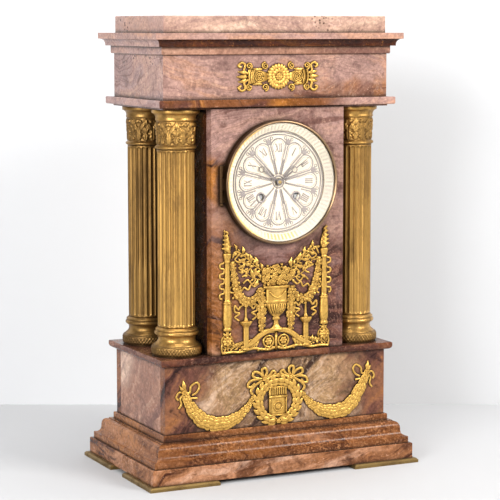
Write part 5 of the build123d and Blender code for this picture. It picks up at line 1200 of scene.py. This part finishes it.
class PORTICO_OT_dial(bpy.types.Operator):
    """Raises petals, numbers and rings on the dial and strokes on the bezel's sight ring"""

    bl_idname = "portico.dial"
    bl_label = "Dial relief"

    def execute(self, context):
        """Twelve teardrop petals with Roman numbers, ringed by fine lines, inside a sloping ring of
        strokes."""
        ivory, etch = tones_of("metal", "ivory", "etch")
        # The dial's silvering takes painted shade in its hollows.
        plain = metal("dial_silvering", ivory, dimmed(ivory, 0.85), 0.4, 40.0, (0.42, 0.5), 0.1, hollow=0.5)
        etched = metal("dial_etching", etch, dimmed(etch, 0.75), 0.4, 60.0, (0.5, 0.6), 0.2)
        dress(plain, "dial")
        petals, lines = self.petals()
        for name, skins, material in (("dial_petals", petals, plain), ("dial_lines", lines, etched)):
            place(put_mesh(name, skins, material), "case", "silvered_dial")
        ring = put_mesh("sight_ring", [self.sight_ring()], self.sight_silvering())
        place(ring, "bezel", "silvered_dial")
        return {"FINISHED"}

    def sight_silvering(self):
        """Silvering with painted light: bright at the top of the ring and painted shade darkening it toward
        the bottom, with dark strokes, a gilt patch below and a gilt rim at the left."""
        ivory, etch, gilt = tones_of("metal", "ivory", "etch", "gilt")
        ring = metal("sight_silvering", ivory, ivory, 0.3, 60.0, (0.5, 0.6), 0.0)
        nodes = Nodes(ring.node_tree)
        maths, step = nodes.maths, nodes.step
        across, _, height = nodes.axes(nodes.object_place())
        rise = maths("SUBTRACT", height, float(DIAL_MIDDLE) * MM)
        reach = maths("SQRT", maths("ADD", maths("MULTIPLY", across, across), maths("MULTIPLY", rise, rise)))
        stroke = maths("ABSOLUTE", maths("SINE", maths("MULTIPLY", maths("ARCTAN2", across, rise), 44.0)))
        band = maths("MULTIPLY", step(reach, 0.0540, 0.0550), step(reach, 0.0605, 0.0595))
        stroke = maths("MULTIPLY", step(stroke, 0.55, 0.85), band)
        # Painted light and shade: the silvering is brighter at the top of the ring and darker toward the
        # bottom.
        lean = maths("SUBTRACT", maths("MULTIPLY", across, 0.4), rise)
        tone = nodes.blend(step(lean, -0.05, 0.04), dimmed(ivory, 1.35), dimmed(ivory, 0.72))
        tone = nodes.blend(maths("MULTIPLY", stroke, 0.35), tone, etch)
        middle = step(maths("ABSOLUTE", across), 0.024, 0.012)
        below = maths("MULTIPLY", step(rise, -0.050, -0.054), middle)
        tone = nodes.blend(maths("MULTIPLY", below, stroke), tone, dimmed(gilt, 0.55))
        rim = maths("MULTIPLY", step(reach, 0.0590, 0.0600), step(across, -0.012, -0.034))
        shader = node_of(ring.node_tree, "BSDF_PRINCIPLED")
        finish(nodes, shader, Base_Color=nodes.blend(rim, tone, gilt))
        return ring

    def petals(self):
        """Half-width 8.8 (r/34)^1.1 closed by a half-ellipse at the outer end; two thin strips outline
        it."""
        up = size_of("dial_rise")
        face = DIAL_FACE + 0.02
        low_edge, outer, hub, near_squares = 0.05, 45.0, 8.0, 27.0

        def polar(radius, turn, shift=0.0):
            s, c = np.sin(turn), np.cos(turn)
            return np.stack([radius * s + shift * c, DIAL_MIDDLE + radius * c - shift * s], -1)

        petals, lines = [], []
        for hour, text in enumerate(HOURS):
            turn = radians(30.0 * hour)
            gap = turn + radians(15.0)
            inner = near_squares if hour in (4, 8) else hub
            r = outer - (outer - inner) * np.linspace(0, 1, 30) ** 1.5
            dome = np.sqrt(np.clip(1 - ((r - 36.0) / 9.0).clip(0) ** 2, 0, 1))
            half = 8.8 * (np.clip(r - 4.0, 0, 34) / 34) ** 1.1 * dome + 0.2
            petals.append(sweep(face, polar(r, turn), half * 0.94, 0.6 * up, low_edge, 9))
            for side in (-1, 1):
                second = polar(r - 0.9, turn, side * np.maximum(half - 1.9, 0.1))[:22]
                dot = polar(46.2, gap + side * radians(4.6))
                lines += [
                    sweep(face, polar(r, turn, side * half), 0.8, up, low_edge, 5),
                    sweep(face, second, 0.3, 0.4 * up, 0.55 * up, 4),
                    roundel(face, dot, 1.5, 0.42, low_edge, 16),
                ]
            for a, b, weight in numeral_strokes(text):
                ends = [polar(31.0 + 9.0 * p[1], turn, 7.4 * p[0]) for p in (a, b)]
                lines.append(sweep(face, np.linspace(*ends, 4), 0.8 * weight, 0.4 * up, 0.6 * up, 4))
            for lean in (-4.0, 0.0, 4.0):
                tip = polar(48.0 - abs(lean) * 0.3, gap + radians(lean))
                lines.append(leaf(face, polar(39.5, gap), tip, 2.4, 0.0, 0, low_edge, 6, 0.8 * up))
            lines.append(sweep(face, polar(np.linspace(6.0, 24.0, 5), gap), 0.3, 0.8 * up, low_edge, 4))
        for radius in (6.2, 49.4, 51.9):
            lines.append(roundel(face, (0.0, DIAL_MIDDLE), radius, 0.7, low_edge, 120))
        for x in (-20.5, 20.5):
            lines.append(roundel(face, (x, DIAL_MIDDLE - 15.6), 4.6, 1.1, low_edge, 30))
        return petals, lines

    def sight_ring(self):
        """A cone from the dial's edge to the glass, raised by |cos 36 turn| in strokes that die out at
        both edges."""
        inner, width, depth = 53.2, 8.3, 7.0
        turns = np.linspace(0, 2 * pi, 721)[:, None]
        share = np.linspace(0, 1, 8)[None]
        stroke = np.abs(np.cos(36 * turns)) ** 0.7 * np.clip(np.sin(pi * share) * 1.8, 0, 1)
        radius = np.broadcast_to(inner + width * share, stroke.shape)
        front = 0.55 + depth * share + 0.45 * stroke
        radius = np.concatenate([radius, radius[:, [-1, 0]]], 1)
        out = np.concatenate([front, front[:, [-1, 0]] - 0.25], 1)
        x, z = radius * np.sin(turns), DIAL_MIDDLE + radius * np.cos(turns)
        return closed_skin(np.stack([x, CASE_FACE - out, z], -1))


class PORTICO_OT_stone_finish(bpy.types.Operator):
    """Gives each stone piece its own lie of banded onyx"""

    bl_idname = "portico.stone_finish"
    bl_label = "Stone finish"

    def execute(self, context):
        """Each stone shares the veining group, with its own colours, shares, shift and turn of the
        layers."""
        names = ("mauve", "peach", "cream", "plum", "amber", "russet", "lilac", "moss")
        mauve, peach, cream, plum, amber, russet, lilac, moss = tones_of("stone", *names)
        blush, shell = mix(mauve, peach, 0.5), mix(peach, cream, 0.45)
        wine, clay = mix(plum, russet, 0.5), mix(russet, amber, 0.42)
        olive, umber, honey = mix(mauve, amber, 0.5), mix(mauve, russet, 0.55), mix(mauve, amber, 0.4)
        rose, sand = mix(lilac, peach, 0.4), mix(peach, amber, 0.3)
        pale = (mix(shell, lilac, 0.35), mix(cream, peach, 0.3), cream, mix(mauve, lilac, 0.55), peach)
        pink = (mix(lilac, peach, 0.35), peach, shell, mix(mauve, lilac, 0.3), peach)
        rosy = (lilac, rose, shell, mauve, peach)
        dark = (mix(plum, russet, 0.35), wine, amber, plum, russet)
        brown = (clay, amber, peach, wine, amber)
        rust = (umber, honey, amber, plum, amber)
        pit = one_colour(plum)
        edge = CASE_LEFT * MM
        dress(stone(
            "top_onyx", (pale, (0.45, 0.75, 0.4, 0.7), (0.1, 0.3, 0.2), (4, 3)),
            (fade((0, -0.124, -0.130), ragged=0.002),
             (rosy, (0.5, 0.7, 0.4, 0.3), (0.3, 0.1, 0.4), (5, 2))),
            (pocked((0, 0.035, 0.05), (0, 0.10, 0.085)), pit),
            (pocked((0, -0.08, -0.09)), pit),
        ), "top_block")
        # The cornice's front is dark brown onyx, partly painted shade on its downward cove, with a lighter
        # onyx on the upright band above CORNICE_UPRIGHT.
        dress(stone(
            "cornice_onyx", (dark, (0.6, 0.5, 0.6, 0.25), (0.4, 0.1, 0.6), (2, -3)),
            (mitre, (rosy, (0.5, 0.6, 0.3, 0.3), (0.2, 0.4, 0.1), (2, 3))),
            (fade((2, CORNICE_UPRIGHT - 0.0004, CORNICE_UPRIGHT + 0.0004), ragged=0.0),
             (pink, (0.35, 0.8, 0.3, 0.5), (0.5, 0.2, 0.7), (3, 4))),
        ), "cornice")
        dress(stone(
            "cornice_bed_onyx",
            ((blush, peach, shell, mauve, russet), (0.7, 0.6, 0.3, 0.3), (0.3, 0.7, 0.2), (3, 2)),
            (mitre, (rosy, (0.6, 0.6, 0.3, 0.3), (0.6, 0.4, 0.1), (2, 3))),
        ), "cornice_bed")
        dress(stone(
            "frieze_onyx", (pink, (0.7, 0.8, 0.5, 0.8), (0.7, 0.2, 0.1), (14, -9)),
            (fade((2, 0.422, 0.404), (0, -0.03, 0.05)),
             ((blush, peach, cream, umber, amber), (0.8, 0.7, 0.5, 0.4), (0.2, 0.5, 0.6), (10, 4))),
            (mitre, (rosy, (0.5, 0.8, 0.3, 0.9), (0.35, 0.75, 0.5), (10, 12))),
            (pocked((0, -0.11, -0.125), (2, 0.420, 0.428)), pit),
        ), "frieze_panels")
        dress(stone(
            "architrave_onyx",
            ((umber, clay, peach, plum, amber), (0.8, 0.6, 0.9, 0.5), (0.2, 0.6, 0.4), (2, 4)),
            (fade((0, 0.045, 0.085)), (pink, (0.5, 0.8, 0.4, 0.5), (0.8, 0.3, 0.2), (4, 2))),
            (fade((0, -0.03, 0.0), (0, 0.05, 0.02)),
             (brown, (0.4, 0.9, 0.9, 0.4), (0.1, 0.2, 0.7), (3, 3))),
            (mitre, (rosy, (0.5, 0.7, 0.3, 0.3), (0.6, 0.1, 0.4), (3, 2))),
        ), "architrave")
        dress(stone(
            "pedestal_top_onyx",
            ((umber, olive, peach, plum, russet), (0.8, 0.6, 0.6, 0.3), (0.25, 0.3, 0.8), (2, 4)),
            (mitre, ((umber, blush, peach, wine, russet), (0.6, 0.6, 0.5, 0.3), (0.7, 0.2, 0.9), (3, 2))),
        ), "pedestal_top")
        dress(stone(
            "case_onyx",
            ((mix(blush, lilac, 0.6), mix(lilac, peach, 0.5), shell, mauve, peach),
             (0.85, 0.8, 0.3, 0.7), (0.32, 0.15, 0.9), (16, 14)),
            (fade((2, 0.292, 0.225), ragged=0.09),
             ((mix(umber, mauve, 0.5), mix(mauve, lilac, 0.35), peach, plum, russet),
              (0.8, 0.8, 0.4, 0.6), (0.5, 0.6, 0.2), (14, 20))),
            (fade((0, edge + 0.020, edge + 0.004), (2, 0.275, 0.300), (2, 0.345, 0.325)),
             ((honey, amber, peach, plum, amber), (1.0, 0.6, 0.6, 0.4), (0.35, 0.4, 0.2), (8, 20))),
            (fade((0, edge + 0.038, edge + 0.016), (2, 0.315, 0.215)),
             ((mix(russet, amber, 0.45), mix(amber, peach, 0.4), peach, plum, clay),
              (1.0, 0.9, 0.8, 0.6), (0.62, 0.25, 0.4), (20, -28))),
        ), "case_front", "case_back")
        # The case sides are a very dark onyx: partly the stone's own dark red brown, partly painted shade
        # where the columns and case close round them.
        dress(stone(
            "case_side_onyx",
            ((plum, mix(plum, russet, 0.3), amber, plum, russet),
             (0.8, 0.4, 0.35, 0.1), (0.9, 0.5, 0.3), (26, -30)),
        ), "case_sides")
        dress(stone(
            "pedestal_onyx",
            ((mix(mauve, moss, 0.4), mix(moss, peach, 0.35), mix(cream, moss, 0.2), plum, moss),
             (0.85, 0.85, 0.5, 0.7), (0.15, 0.45, 0.75), (30, 36)),
            (fade((0, -0.055, -0.112), ragged=0.12),
             (rust, (0.9, 0.8, 0.8, 0.4), (0.4, 0.3, 0.2), (24, 40))),
            (fade((0, 0.070, 0.112), ragged=0.12),
             (rust, (1.0, 0.7, 0.7, 0.4), (0.7, 0.6, 0.2), (50, 20))),
        ), "pedestal_front", "pedestal_back")
        dress(stone(
            "pedestal_side_onyx",
            ((mix(mauve, peach, 0.4), blush, shell, mauve, peach),
             (0.8, 0.8, 0.4, 0.5), (0.55, 0.8, 0.15), (58, -20)),
            (fade((1, 0.01, 0.035), (2, 0.075, 0.095)),
             (pale, (0.8, 0.8, 0.4, 0.8), (0.2, 0.8, 0.4), (30, 10))),
        ), "pedestal_sides")
        dress(stone(
            "base_onyx",
            ((mix(russet, amber, 0.22), mix(clay, mauve, 0.2), sand, wine, clay),
             (0.75, 0.75, 0.6, 0.6), (0.25, 0.35, 0.5), (4, 3)),
            (mitre, ((mix(clay, mauve, 0.25), mix(clay, peach, 0.25), mix(peach, amber, 0.4), wine, amber),
                     (0.85, 0.7, 0.5, 0.6), (0.75, 0.15, 0.4), (3, 4))),
            (speckled, one_colour(mix(amber, peach, 0.3))),
        ), "base_moulding", "base_fillet")
        dress(stone(
            "plinth_onyx",
            ((olive, mix(peach, amber, 0.35), mix(peach, cream, 0.4), wine, clay),
             (1.0, 0.85, 0.6, 0.6), (0.6, 0.15, 0.35), (12, 16)),
        ), "plinth_slab")
        return {"FINISHED"}


class PORTICO_OT_metal_finish(bpy.types.Operator):
    """Finishes the bezels, feet, glass, hands and movement"""

    bl_idname = "portico.metal_finish"
    bl_label = "Metal finish"

    def execute(self, context):
        """One patina group with its own colours, share, fineness, dullness and shine on each metal."""
        brass, shade, bezel, foot = tones_of("metal", "brass", "bronze_shade", "bezel", "foot")
        metals = {"antique_bronze": bronze_material()}
        for slot, name, *look in (
            ("gilt_bronze", "bezel_gilding", bezel, shade, 0.5, 30.0, (0.24, 0.45), 0.95),
            ("foot_brass", "foot_brass", foot, shade, 0.6, 45.0, (0.42, 0.6), 0.9, 0.3),
            ("movement_brass", "movement_brass", brass, dimmed(brass, 0.6), 0.35, 90.0, (0.28, 0.42), 1.0),
            ("steel", "movement_steel", (0.42, 0.42, 0.43), (0.20, 0.18, 0.17), 0.4, 120.0, (0.3, 0.5), 1.0),
            ("blued_steel", "hand_steel", (0.19, 0.165, 0.155), (0.10, 0.085, 0.08), 0.4, 200.0,
             (0.36, 0.5), 0.7),
            ("bell_metal", "bell_metal", (0.55, 0.42, 0.20), (0.30, 0.22, 0.10), 0.3, 50.0, (0.22, 0.4), 1.0),
        ):
            metals[slot] = metal(name, *look)
        for entry in frame["record"]["subparts"]:
            if entry["material_slot"] in metals:
                dress(metals[entry["material_slot"]], entry["node"])
        worn = metal("hinge_bronze", shade, dimmed(shade, 0.4), 0.5, 80.0, (0.4, 0.6), 0.9, 0.2)
        dress(worn, "hinge_pins", "bezel_seat")
        # Painted shade: the bezel is dark bronze on its sides, and only its front face is tinted to the
        # gilding.
        rim = metal("bezel_rim", shade, dimmed(shade, 0.5), 0.5, 40.0, (0.34, 0.5), 0.9)
        front = float(node_box("front_bezel")[0][1]) * MM
        dress(tinted(rim, 1, front + 0.0014, front + 0.0006, 1.0, bezel), "front_bezel")
        dress(self.crystal(), "bezel_glass")
        return {"FINISHED"}

    def crystal(self):
        """Clear glass that lets light through to the dial."""
        clear, nodes, shader, _ = new_material("bezel_crystal")
        tone = (0.98, 0.985, 0.98)
        finish(nodes, shader, Base_Color=tone, Roughness=0.03, IOR=1.48, Transmission_Weight=1.0)
        nodes.clear_where(nodes.add("ShaderNodeLightPath").outputs["Is Shadow Ray"], shader)
        return clear


def stage_sheet(name, corners, tone, one_sided):
    """A flat four-cornered matt surface of the stage; a one-sided one shows nothing from behind."""
    material, nodes, shader, place = new_material(name + "_paper")
    soft = nodes.step(nodes.noise(place, 3.0, 2.0, 0.5), 0.3, 0.7)
    paper = nodes.blend(soft, tone, dimmed(tone, 0.985))
    finish(nodes, shader, Base_Color=paper, Roughness=0.75, Specular_IOR_Level=0.2)
    if one_sided:
        nodes.clear_where(nodes.add("ShaderNodeNewGeometry").outputs["Backfacing"], shader)
    mesh = bpy.data.meshes.new(name)
    mesh.from_pydata([tuple(map(float, corner)) for corner in corners], [], [(0, 1, 2, 3)])
    mesh.materials.append(material)
    sheet = put_object(name, mesh)


def soft_light(name, location, aim_height, size, power, tint=(1.0, 1.0, 1.0)):
    """A square area light aimed at a height on the clock's axis."""
    data = bpy.data.lights.new(name, "AREA")
    data.shape = "SQUARE"
    data.size = size
    data.energy = power
    data.color = tint
    light = put_object(name, data)
    light.location = location
    x, y, z = np.array((0.0, 0.0, aim_height)) - location
    light.rotation_euler = (float(np.arctan2(np.hypot(x, y), -z)), 0.0, float(np.arctan2(-x, y)))


class PORTICO_OT_stage(bpy.types.Operator):
    """Sets the pale floor and wall, the soft lights and the camera"""

    bl_idname = "portico.stage"
    bl_label = "Stage"

    def execute(self, context):
        """The wall stands square to the camera's heading; the camera looks at the clock's axis."""
        s = settings("stage")
        scene = context.scene
        forward = np.array([sin(s.heading), cos(s.heading)])
        right = np.array([cos(s.heading), -sin(s.heading)])
        reach, floor_depth, wall_height = 6.0, 4.0, 3.0
        foot, near = forward * s.wall_back, forward * -floor_depth
        left_end, right_end = foot - right * reach, foot + right * reach
        floor = [(*end, 0.0) for end in (near - right * reach, near + right * reach, right_end, left_end)]
        wall = [(*left_end, 0.0), (*right_end, 0.0), (*right_end, wall_height), (*left_end, wall_height)]
        stage_sheet("floor", floor, tuple(s.floor_tone), False)
        stage_sheet("wall", wall, tuple(s.wall_tone), True)
        soft_light("key", (1.25, -1.9, 1.25), 0.26, 0.9, 54.0, (1.0, 0.985, 0.96))
        soft_light("fill", (-1.9, -1.3, 0.9), 0.26, 1.1, 54.0)
        soft_light("top", (0.0, -0.25, 1.9), 0.3, 1.0, 22.0)
        soft_light("back", (1.4, 2.0, 1.5), 0.25, 1.4, 26.0)
        world = bpy.data.worlds.new("studio")
        world.use_nodes = True
        sky = node_of(world.node_tree, "BACKGROUND")
        sky.inputs["Color"].default_value = (1.0, 1.0, 1.0, 1.0)
        sky.inputs["Strength"].default_value = 0.28
        scene.world = world
        scene.view_settings.view_transform = "Standard"
        data = bpy.data.cameras.new("photo_camera")
        data.lens = s.lens
        data.sensor_width = 36.0
        data.clip_start = 0.01
        camera = put_object("photo_camera", data)
        camera.location = (*map(float, -forward * s.distance), s.height)
        camera.rotation_euler = (pi / 2 - s.pitch, 0.0, -s.heading)
        scene.camera = camera
        return {"FINISHED"}


STEPS = (
    PORTICO_OT_stone_finish, PORTICO_OT_metal_finish, PORTICO_OT_column_bases, PORTICO_OT_column_shafts,
    PORTICO_OT_column_capitals, PORTICO_OT_frieze_mount, PORTICO_OT_urn_mount, PORTICO_OT_wreath_mount,
    PORTICO_OT_garland_mounts, PORTICO_OT_dial, PORTICO_OT_stage,
)


class PORTICO_PT_panel(bpy.types.Panel):
    """Lists the clock's pieces and settings"""

    bl_idname = "PORTICO_PT_panel"
    bl_label = "Portico Clock"
    bl_space_type = "VIEW_3D"
    bl_region_type = "UI"
    bl_category = "Portico Clock"

    def draw(self, context):
        """One button for each operator, then the settings."""
        for step in STEPS:
            self.layout.operator(step.bl_idname)
        for name, group in GROUPS.items():
            box = self.layout.box()
            for label in group.__annotations__:
                box.prop(getattr(context.scene, name), label)


def register():
    """Registers the settings, the operators and the panel."""
    for name, group in GROUPS.items():
        bpy.utils.register_class(group)
        setattr(bpy.types.Scene, name, bpy.props.PointerProperty(type=group))
    for step in STEPS + (PORTICO_PT_panel,):
        bpy.utils.register_class(step)


def unregister():
    """Takes them out again."""
    for step in (PORTICO_PT_panel,) + STEPS[::-1]:
        bpy.utils.unregister_class(step)
    for name, group in GROUPS.items():
        delattr(bpy.types.Scene, name)
        bpy.utils.unregister_class(group)


def main():
    """Registers the add-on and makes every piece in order."""
    register()
    for step in STEPS:
        family, action = step.bl_idname.split(".")
        getattr(getattr(bpy.ops, family), action)()


if __name__ == "__main__":
    main()
